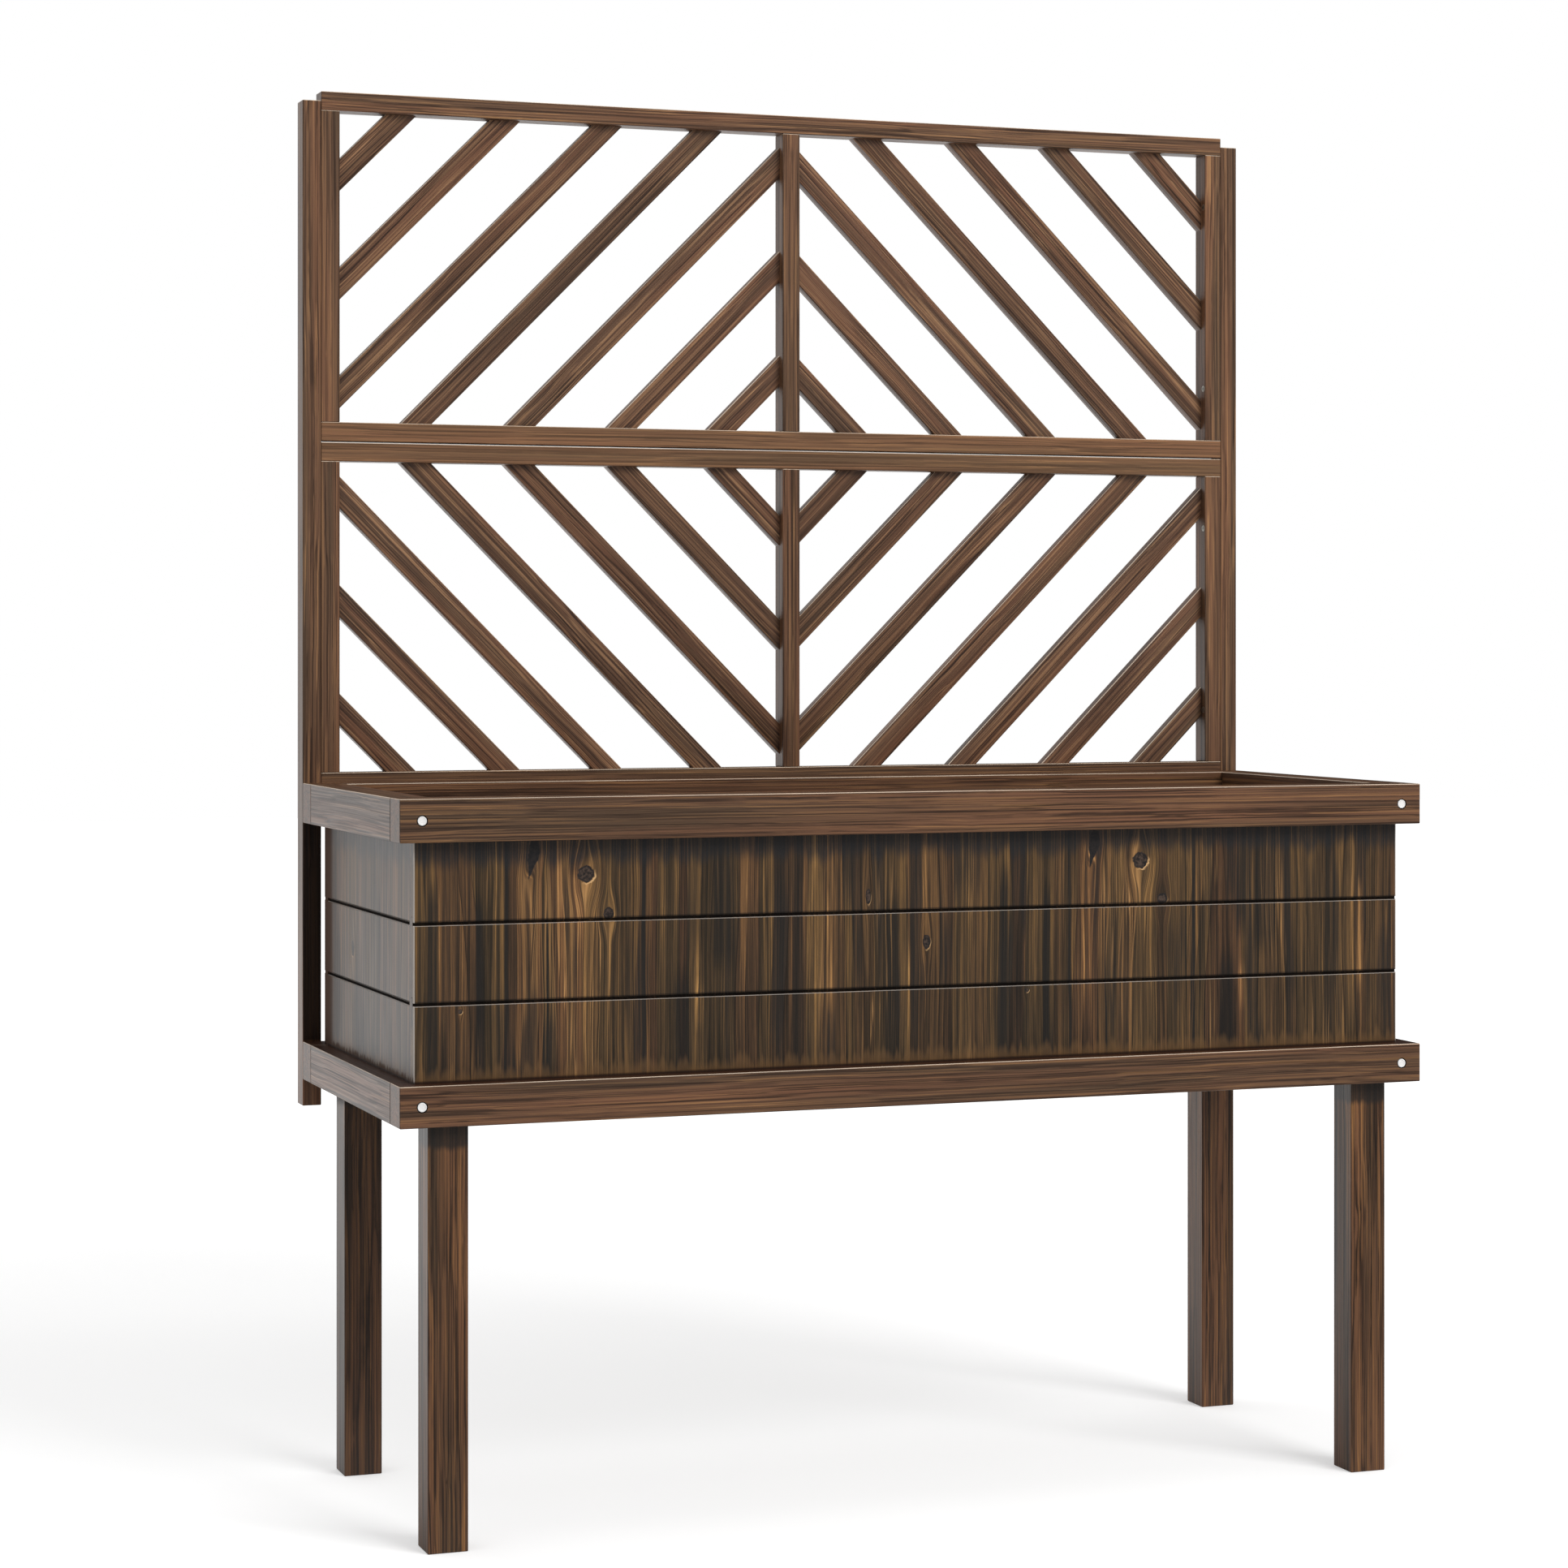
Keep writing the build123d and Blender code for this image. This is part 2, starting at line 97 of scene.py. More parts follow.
# %% Helper for node trees
class Graph:
    """Writes the nodes of one tree, a line at a time."""

    def __init__(self, tree):
        self.tree = tree

    def feed(self, socket, value):
        """Link another socket's value, or set a plain one."""
        if isinstance(value, bpy.types.NodeSocket):
            self.tree.links.new(value, socket)
        else:
            socket.default_value = value

    def node(self, kind, feeds=None, **settings):
        new = self.tree.nodes.new(kind)
        for name, value in settings.items():
            setattr(new, name, value)
        for name, value in (feeds or {}).items():
            self.feed(new.inputs[name], value)
        return new

    def sum(self, operation, *terms):
        new = self.node("ShaderNodeMath", operation=operation)
        for socket, term in zip(new.inputs, terms):
            self.feed(socket, term)
        return new.outputs[0]

    def vector(self, operation, *terms):
        new = self.node("ShaderNodeVectorMath", operation=operation)
        for socket, term in zip(new.inputs, terms):
            self.feed(socket, term)
        return new.outputs[1 if operation == "LENGTH" else 0]

    def split(self, vector):
        return self.node("ShaderNodeSeparateXYZ", {"Vector": vector}).outputs

    def join(self, x, y, z):
        return self.node("ShaderNodeCombineXYZ", {"X": x, "Y": y, "Z": z}).outputs[0]

    def between(self, value, low, high, at_low=0.0, at_high=1.0, smooth=False):
        """Stretch a value from one range to another, held at both ends."""
        kind = "SMOOTHSTEP" if smooth else "LINEAR"
        feeds = {"Value": value, "From Min": low, "From Max": high, "To Min": at_low, "To Max": at_high}
        return self.node("ShaderNodeMapRange", feeds, interpolation_type=kind).outputs[0]

    def noise(self, vector, stretch, detail=2.0, roughness=0.5):
        """Soft noise whose features per metre differ along each axis."""
        scaled = self.vector("MULTIPLY", vector, stretch)
        feeds = {"Vector": scaled, "Scale": 1.0, "Detail": detail, "Roughness": roughness}
        return self.node("ShaderNodeTexNoise", feeds).outputs[0]

    def streaks(self, vector, stretch, low, high, detail=2.0, roughness=0.5):
        """Noise drawn out into streaks, and kept between two levels."""
        return self.between(self.noise(vector, stretch, detail, roughness), low, high)

    def waver(self, vector, stretch, detail=2.0):
        """Soft noise that wanders to both sides of nothing."""
        return self.sum("SUBTRACT", self.noise(vector, stretch, detail), 0.5)

    def crossing(self, vector, stretch, detail=2.0):
        """How far a noise is from its middle: nothing, along thin pointed lines."""
        return self.sum("ABSOLUTE", self.waver(vector, stretch, detail))

    def band(self, value, rise, fall):
        """1 where a value lies between a rise and a fall, 0 outside them."""
        return self.sum("MULTIPLY", self.between(value, *rise), self.between(value, *fall, 1.0, 0.0))

    def place(self):
        """Where a point lies in its object's own frame, in metres."""
        return self.node("ShaderNodeTexCoord").outputs["Object"]

    def facing(self, axis):
        """How far a face looks along an axis: 1 straight along it, -1 straight against it."""
        normal = self.node("ShaderNodeNewGeometry").outputs["Normal"]
        return self.split(normal)["xyz".index(axis)]

    def mix(self, share, first, second):
        """A colour part of the way from the first to the second."""
        new = self.node("ShaderNodeMix", data_type="RGBA")
        for name, value in {"Factor": share, "A": first, "B": second}.items():
            self.feed(new.inputs[name], value)
        return new.outputs["Result"]

    def ramp(self, value, stops):
        """Screen colours at places along a value from 0 to 1."""
        new = self.node("ShaderNodeValToRGB", {"Fac": value})
        elements = new.color_ramp.elements
        while len(elements) < len(stops):
            elements.new(0.5)
        for element, (place, colour) in zip(elements, stops):
            element.position = place
            element.color = screen(colour)
        return new.outputs[0]

    def bump(self, height, strength, distance):
        feeds = {"Height": height, "Strength": strength, "Distance": distance}
        return self.node("ShaderNodeBump", feeds).outputs[0]


def screen(colour):
    """An 8-bit screen colour as the linear colour that a shader works in."""
    def linear(value):
        value = value / 255
        return value / 12.92 if value <= 0.04045 else ((value + 0.055) / 1.055) ** 2.4
    return tuple(linear(value) for value in colour) + (1.0,)


def new_material(name):
    """A fresh material, its graph and its shader."""
    material = bpy.data.materials.new(name)
    material.use_nodes = True
    return material, Graph(material.node_tree), material.node_tree.nodes["Principled BSDF"]


def finish_node(node, material):
    """Put one finish on a whole piece of the joinery."""
    mesh = nodes[node].data
    mesh.materials.clear()
    mesh.materials.append(material)


print("helper ready; mid brown is", [round(v, 3) for v in screen((105, 78, 60))])

# %% [markdown]
# ## Timber as a solid
#
# A plank is cut from a log, so its figure isn't a picture on each face but a solid
# pattern that runs through it. Long flat faces show lines, sawn ends show arcs, and
# all of them meet at the edges. Here the log lies along X. Its rings are distances
# from its heart, bent a little on their way, and fibres are noise drawn out more than
# a hundredfold along the grain. One node group holds it, and every timber uses it.

# %% The figure of the wood, as one node group
RING_WIDTH = 0.0085
SWAY, QUIVER = 0.010, 0.0009     # width of the slow bends and of the quick ones


def figure_group():
    """Channels of a wood figure: slow bands, rings, thin lines, coarse and fine fibres, glints."""
    tree = bpy.data.node_groups.new("wood_figure", "ShaderNodeTree")
    tree.interface.new_socket("Grain", in_out="INPUT", socket_type="NodeSocketVector")
    channels = ("Bands", "Rings", "Lines", "Coarse", "Fine", "Glints")
    for name in channels:
        tree.interface.new_socket(name, in_out="OUTPUT", socket_type="NodeSocketFloat")
    g = Graph(tree)
    place = g.node("NodeGroupInput").outputs["Grain"]

    # Nothing grows dead straight: a slow sway, and a quick one of under a millimetre.
    sway = g.waver(place, (3.0, 12.0, 12.0))
    quiver = g.waver(place, (38.0, 90.0, 90.0))
    drift = g.sum("MULTIPLY_ADD", sway, SWAY, g.sum("MULTIPLY", quiver, QUIVER))
    x, y, z = g.split(place)
    y = g.sum("ADD", y, drift)
    z = g.sum("MULTIPLY_ADD", drift, 0.8, z)
    grown = g.join(x, y, z)

    reach = g.sum("DIVIDE", g.vector("LENGTH", g.join(0.0, y, z)), RING_WIDTH)
    uneven = g.sum("MULTIPLY", g.noise(grown, (0.7, 70.0, 70.0)), 3.0)
    phase = g.sum("FRACT", g.sum("ADD", reach, uneven))
    late_wood = g.between(phase, 0.78, 0.94, smooth=True)
    rings = g.sum("MULTIPLY", late_wood, g.between(phase, 0.95, 1.0, 1.0, 0.0))
    rings = g.sum("MULTIPLY", rings, g.streaks(grown, (2.0, 150.0, 150.0), 0.38, 0.54))

    # Thin pointed lines, where a slow noise crosses its middle.
    lines = g.between(g.crossing(grown, (0.8, 210.0, 210.0), detail=1.0), 0.006, 0.028, 1.0, 0.0)
    lines = g.sum("MULTIPLY", lines, g.streaks(grown, (3.0, 120.0, 120.0), 0.42, 0.54))
    outputs = {
        "Bands": g.streaks(grown, (1.6, 60.0, 60.0), 0.34, 0.66),
        "Rings": rings,
        "Lines": lines,
        "Coarse": g.streaks(grown, (1.4, 370.0, 370.0), 0.31, 0.69, detail=2.0, roughness=0.60),
        "Fine": g.streaks(grown, (4.0, 680.0, 680.0), 0.36, 0.64, detail=1.0, roughness=0.50),
        "Glints": g.streaks(grown, (3.0, 330.0, 330.0), 0.58, 0.72),
    }
    result = g.node("NodeGroupOutput")
    for name, value in outputs.items():
        g.feed(result.inputs[name], value)
    return tree


wood_figure = figure_group()
print("nodes in the figure:", len(wood_figure.nodes))

# %% [markdown]
# ## Stain and lacquer
#
# The rails, legs and trellis are softwood under a walnut stain and a satin lacquer.
# Stain takes unevenly: it is greyer in slow bands and redder between them, dark in
# the late wood, and it lets a few golden fibres through. The lacquer is the shader's
# own dielectric gloss, so faces seen at a slant mirror the pale room. Stain gathers
# in a thin line on the eased edges, and the edges that look up carry a pale painted
# highlight. An edge is found by measuring how far a point lies from the nearest arris
# of its own piece. A sawn end shows the fibres end on, too fine to see, so it is
# smoother than the faces along the grain.

# %% Stain recipes
STAINS = {
    "frame": {"dark": (46, 29, 18), "grey": (84, 63, 46), "red": (116, 79, 56), "gold": (156, 114, 72)},
    "trellis": {"dark": (50, 32, 21), "grey": (91, 69, 51), "red": (121, 83, 59), "gold": (170, 126, 84)},
    "slat": {"dark": (44, 28, 19), "grey": (83, 62, 47), "red": (112, 76, 55), "gold": (166, 126, 90)},
    "leg": {"dark": (31, 20, 13), "grey": (72, 53, 37), "red": (109, 73, 48), "gold": (152, 106, 59)},
    "inner": {"dark": (44, 30, 21), "grey": (74, 56, 42), "red": (98, 70, 51), "gold": (128, 94, 64)},
}
GATHERED = (34, 24, 18)          # stain that ran together along an arris
GATHERED_REACH = 0.0007          # how far from an arris it did
UPPER_ARRIS_HIGHLIGHT = (228, 208, 186)           # painted highlight on an arris that looks up
UPPER_ARRIS_HIGHLIGHT_REACH = 0.0012              # how far from the arris the painted highlight reaches
CHAR_AND_SHADE = (36, 33, 31)          # the dark top of a leg under the bottom rail: char and painted shade
DRY_ARRIS = 0.70                 # roughness of an arris, where the lacquer is thin
LACQUER_IOR = 1.47
OIL_IOR = 1.41                   # of the oiled char, a little duller than lacquer


def from_arris(g, place, low, high):
    """How far a point on a squared timber lies from its nearest arris."""
    middle = [(a + b) / 2 for a, b in zip(low, high)]
    half = [(b - a) / 2 for a, b in zip(low, high)]
    offset = g.vector("ABSOLUTE", g.vector("SUBTRACT", place, middle))
    x, y, z = g.split(g.vector("SUBTRACT", half, offset))
    nearer = g.sum("MINIMUM", x, y)
    farther = g.sum("MAXIMUM", x, y)
    return g.sum("MAXIMUM", nearer, g.sum("MINIMUM", farther, z))


def lifted(g):
    """How far a face leans upwards, as on the eased top arris of a rail."""
    return g.band(g.facing("z"), (0.25, 0.55), (0.88, 0.97))


def sawn_end(g, grain):
    """1 on a face that cuts square across the grain, 0 on the faces along it."""
    return g.between(g.sum("ABSOLUTE", g.facing(grain)), 0.85, 0.98)


def stain_timber(g, shader, stain, grain, arris, top_char_and_shade=None, singed=None, cathedral=0.0, end=0.0):
    """Colour, gloss and relief of one stained timber."""
    tones = STAINS[stain]
    figure = g.node("ShaderNodeGroup", node_tree=wood_figure)
    g.feed(figure.inputs["Grain"], grain)
    bands, rings, lines, coarse, fine, glints = figure.outputs
    colour = g.mix(bands, screen(tones["grey"]), screen(tones["red"]))
    shade = g.sum("MULTIPLY_ADD", coarse, 0.48, g.sum("MULTIPLY", fine, 0.52))
    shade = g.between(end, 0.0, 1.0, shade, g.sum("MULTIPLY_ADD", shade, 0.22, 0.39))
    colour = g.mix(g.between(shade, 0.54, 0.10, 0.0, 0.85), colour, screen(tones["dark"]))
    if cathedral:
        colour = g.mix(g.sum("MULTIPLY", lines, cathedral), colour, screen(tones["gold"]))
    else:
        rings = g.sum("MAXIMUM", rings, g.sum("MULTIPLY", lines, 0.85))
    colour = g.mix(g.sum("MULTIPLY", rings, 0.88), colour, screen(tones["dark"]))
    glow = g.sum("MULTIPLY", glints, g.between(fine, 0.2, 0.9, 0.15, 0.62))
    glow = g.sum("MULTIPLY_ADD", g.between(shade, 0.62, 1.0), 0.45, glow)
    colour = g.mix(glow, colour, screen(tones["gold"]))
    if singed is not None:
        amber = g.sum("MULTIPLY", singed, g.between(shade, 0.35, 0.65))
        colour = g.mix(amber, colour, screen(tones["gold"]))
    # Char and painted shade on a leg's top, under the bottom rail.
    if top_char_and_shade is not None:
        colour = g.mix(top_char_and_shade, colour, screen(CHAR_AND_SHADE))
    gathered = g.between(arris, 0.4 * GATHERED_REACH, GATHERED_REACH, 0.45, 0.0)
    colour = g.mix(gathered, colour, screen(GATHERED))
    # Painted highlight: a pale line on the arrises that look up.
    arris_highlight = g.sum("MULTIPLY", lifted(g), g.between(coarse, 0.0, 0.6, 0.50, 0.92))
    arris_highlight = g.sum("MULTIPLY", arris_highlight, g.between(arris, UPPER_ARRIS_HIGHLIGHT_REACH, UPPER_ARRIS_HIGHLIGHT_REACH + 0.0003, 1.0, 0.0))
    colour = g.mix(arris_highlight, colour, screen(UPPER_ARRIS_HIGHLIGHT))
    g.feed(shader.inputs["Base Color"], colour)
    satin = g.between(shade, 0.1, 0.9, 0.42, 0.31)
    dry = g.between(arris, 0.4 * GATHERED_REACH, GATHERED_REACH, DRY_ARRIS, 0.0)
    g.feed(shader.inputs["Roughness"], g.sum("MAXIMUM", satin, dry))
    g.feed(shader.inputs["IOR"], LACQUER_IOR)
    relief = g.sum("SUBTRACT", shade, g.sum("MULTIPLY", rings, 0.4))
    g.feed(shader.inputs["Normal"], g.bump(relief, 0.22, 0.0004))


# %% [markdown]
# ## Each timber from its own log
#
# A mapping node lays the grain along the piece: the log is turned to the piece's
# length, and its heart is set beside it. A rail's rings run nearly square to its
# upright faces, which gives those the straight lines of quartered timber. In a leg,
# post or stile they run nearly square to its left and right sides instead. A seed
# from the piece's place in the list keeps every piece different.

# %% Grain of each piece
GRAIN_OF = {
    # start of the name: direction of the grain, and the stain
    "leg_": ("z", "leg"),
    "corner_post": ("z", "inner"), "mid_post": ("z", "inner"),
    "bearer": ("y", "inner"), "base_board": ("x", "inner"),
    "bottom_rail_left": ("y", "frame"), "bottom_rail_right": ("y", "frame"),
    "top_rail_left": ("y", "frame"), "top_rail_right": ("y", "frame"),
    "bottom_rail": ("x", "frame"), "top_rail": ("x", "frame"),
    "trellis_post": ("z", "trellis"),
    "upper_stile": ("z", "trellis"), "lower_stile": ("z", "trellis"),
    "upper_rail": ("x", "trellis"), "lower_rail": ("x", "trellis"),
}
TURNS = {"x": (0.0, 0.0, 0.0), "y": (0.0, 0.0, -math.pi / 2), "z": (0.0, math.pi / 2, 0.0)}
HEART_AWAY = (0.06, 0.14)        # nearest and farthest that a piece was sawn from the heart
HEART_LEAN = 0.30                # radians that the heart may lie to one side
LOG_REACH = 9.0                  # metres of log to each side that a piece may come from


def grain_of(node):
    """Direction of the grain and the stain of a timber, or None for any other piece."""
    for start, choice in GRAIN_OF.items():
        if node.startswith(start):
            return choice
    return None


print("timbers:", sum(grain_of(node) is not None for node in nodes), "of", len(nodes), "pieces")

# %% [markdown]
# ## Marks that only some timbers have
#
# The legs are dark at the top, under the bottom rail, as char and painted shade, and
# singed amber in streaks below. The upward faces of the bottom rails are a dark red brown
# of painted shade and reflection from the wall above them, a trellis post is painted almost
# black in front at the height of the box as shade, the recesses round the front bolts are
# painted dark inside as shade, and a dark line shows where a side rail butts against a
# long one. A few timbers are darker or paler than the rest; the back left leg's darkening
# is painted shade under the box. Such marks could be painted on a picture. Here each is a
# share from 0 to 1, laid over the stain, and the figure of the wood shows through where
# the share is less than 1. Where a mark begins is worked out from the boxes of the pieces,
# so it follows a change of size.

# %% Marks of single timbers
DARK_TOP_DEEP = 0.022              # how far down a leg's top is darkened
DARK_TOP_RAGGED = 0.012            # from the highest to the lowest point of its edge
DARK_TOP_FADE = 0.004              # half the height over which it fades
SINGED_DEEP = 0.17               # how far below it the amber reaches
OWN_TONE_AND_SHADE = {                     # timbers darker (below nothing) or paler than the rest; the back left leg's darkening is painted shade under the box
    "leg_back_left": -0.34, "upper_rail_bottom": 0.14, "lower_rail_top": 0.14,
}
LEDGE_SHADE = (50, 22, 14)             # painted shade and reflection of the wall, on the upward faces of the bottom rails
POST_SHADE = (12, 7, 5)           # painted shade on the front of a post between the two rail frames
POST_FADE = 0.002                # half the height over which that begins and ends
JOINT_DARK = (20, 14, 11)        # the line where a side rail butts against a long rail
JOINT_REACH = 0.0013             # how far from the joint it is seen
RECESS_SHADE = (14, 9, 7)         # painted shade inside the recess round a bolt's head
RECESS_RADIUS = 0.0055
BOLT_HEAD_RADIUS = 0.0045


def dark_top(g, place):
    """How far a leg is darkened at its top, as char and painted shade under the rail, and how far it is
    singed below.
    """
    ragged = g.noise(place, (140.0, 140.0, 8.0))
    height = g.sum("MULTIPLY_ADD", ragged, -DARK_TOP_RAGGED, g.split(place)[2])
    start = leg_top - DARK_TOP_DEEP - DARK_TOP_RAGGED / 2
    top_char_and_shade = g.between(height, start - DARK_TOP_FADE, start + DARK_TOP_FADE, 0.0, 0.82, smooth=True)
    singed = g.between(height, start - SINGED_DEEP, start - DARK_TOP_FADE, 0.0, 0.55)
    singed = g.sum("MULTIPLY", singed, g.streaks(place, (75.0, 75.0, 3.0), 0.48, 0.60))
    return top_char_and_shade, singed


def in_bolt_recess(g, place, rail_face, rail_middle):
    """1 on the inside of the recesses of a front rail, 0 elsewhere."""
    x, y, z = g.split(place)
    bolt_x = span("rail_bolts")[1].x - BOLT_HEAD_RADIUS
    aside = g.sum("SUBTRACT", g.sum("ABSOLUTE", x), bolt_x)
    above = g.sum("SUBTRACT", z, rail_middle)
    from_bolt = g.vector("LENGTH", g.join(aside, above, 0.0))
    round_bolt = g.between(from_bolt, RECESS_RADIUS + 0.0001, RECESS_RADIUS + 0.0004, 1.0, 0.0)
    return g.sum("MULTIPLY", round_bolt, g.between(y, rail_face + 0.0001, rail_face + 0.0003))


def add_marks(g, shader, node, grain, stain, place):
    """Lay a timber's own marks over its stain."""
    low, high, middle = span(node)
    colour = shader.inputs["Base Color"].links[0].from_socket
    # The back left leg is darkened as painted shade under the box; the paler rails are their own tone.
    tone = OWN_TONE_AND_SHADE.get(node, 0.0)
    if tone:
        colour = g.mix(abs(tone), colour, screen(STAINS[stain]["gold" if tone > 0 else "dark"]))
    # Painted shade and reflection of the dark wall on the upward faces of the bottom rails.
    if node.startswith("bottom_rail"):
        colour = g.mix(g.between(g.facing("z"), 0.90, 0.99, 0.0, 0.78), colour, screen(LEDGE_SHADE))
    # Painted shade on the front of a trellis post beside the box, where the light hardly reaches.
    if node.startswith("trellis_post"):
        beside_box = g.band(g.split(place)[2], (wall_foot - POST_FADE, wall_foot + POST_FADE),
                            (wall_head - POST_FADE, wall_head + POST_FADE))
        in_front = g.between(g.facing("y"), -0.98, -0.80, 0.88, 0.0)
        colour = g.mix(g.sum("MULTIPLY", beside_box, in_front), colour, screen(POST_SHADE))
    # Painted shade inside the recesses round the bolt heads.
    if node in ("bottom_rail_front", "top_rail_front"):
        colour = g.mix(in_bolt_recess(g, place, low.y, middle.z), colour, screen(RECESS_SHADE))
    if grain == "y" and stain == "frame":
        y = g.split(place)[1]
        from_joint = g.sum("MINIMUM", g.sum("SUBTRACT", y, low.y), g.sum("SUBTRACT", high.y, y))
        joint = g.between(from_joint, 0.5 * JOINT_REACH, JOINT_REACH, 0.90, 0.0)
        colour = g.mix(joint, colour, screen(JOINT_DARK))
        roughness = shader.inputs["Roughness"].links[0].from_socket
        g.feed(shader.inputs["Roughness"], g.sum("MAXIMUM", roughness, joint))
    g.feed(shader.inputs["Base Color"], colour)


print("legs are charred down to", round(leg_top - DARK_TOP_DEEP, 3))

# %% Stain every timber
def timber_material(name, node, grain, stain, seed):
    """The finish of one timber, which is cut from a log of its own."""
    material, g, shader = new_material(name)
    low, high, middle = span(node)
    draw = random.Random(seed)
    turn = Euler(TURNS[grain])
    lying = turn.to_matrix() @ middle
    away = draw.uniform(*HEART_AWAY)
    lean = draw.uniform(-HEART_LEAN, HEART_LEAN)
    heart = Vector((draw.uniform(-LOG_REACH, LOG_REACH), away * math.sin(lean), away * math.cos(lean)))
    if grain == "z":
        heart = Vector((heart.x, heart.z, heart.y))
    place = g.place()
    feeds = {"Vector": place, "Rotation": tuple(turn), "Location": tuple(heart - lying)}
    laid = g.node("ShaderNodeMapping", feeds).outputs[0]
    arris = from_arris(g, place, low, high)
    top_char_and_shade, singed = dark_top(g, place) if stain == "leg" else (None, None)
    stain_timber(g, shader, stain, laid, arris, top_char_and_shade, singed, end=sawn_end(g, grain))
    add_marks(g, shader, node, grain, stain, place)
    return material


stained = 0
for seed, node in enumerate(sorted(nodes)):
    choice = grain_of(node)
    if choice:
        finish_node(node, timber_material(f"stained_{node}", node, *choice, seed))
        stained += 1
print("stained timbers:", stained)

# %% [markdown]
# ## Scorched boards
#
# The boards of the box are torched, brushed and oiled. The flame blackens the soft
# wood and leaves the hard lines golden, so each wall is a field of upright streaks,
# from black to amber, one edge of each streak sharp and the other soft. A band of
# painted shade darkens the top under the rail, and the flame left a warm ragged band
# along the foot. The pattern runs over all three boards, as when a wall is scorched
# after it is built.
#
# Streaks are noise again, but drawn out up the wall. Round a knot they part: near
# it, all of them are read from the line through its middle, and the field of the
# wall is squeezed against its sides.

# %% Streaks of the scorched walls, as one node group
COLUMNS_PER_METRE = 76.0
SOOT = (38, 35, 33)
SEAM_BLACK = (27, 22, 19)        # long lines between the columns
SIDE_BLACK = (26, 21, 18)        # the black side of some columns
AMBER = (188, 140, 86)           # thin glints
HEAD_SHADE = (37, 37, 39)         # painted shade along the top, under the rail
FOOT_WARM = (120, 88, 54)        # ragged band along the foot
CHAR_OLIVE = [(0.04, (29, 25, 20)), (0.32, (54, 43, 30)), (0.54, (80, 61, 40)),
              (0.76, (117, 87, 51)), (1.00, (186, 140, 82))]
CHAR_RED = [(0.04, (28, 20, 17)), (0.32, (51, 36, 28)), (0.54, (81, 54, 39)),
            (0.76, (116, 77, 50)), (1.00, (180, 128, 80))]


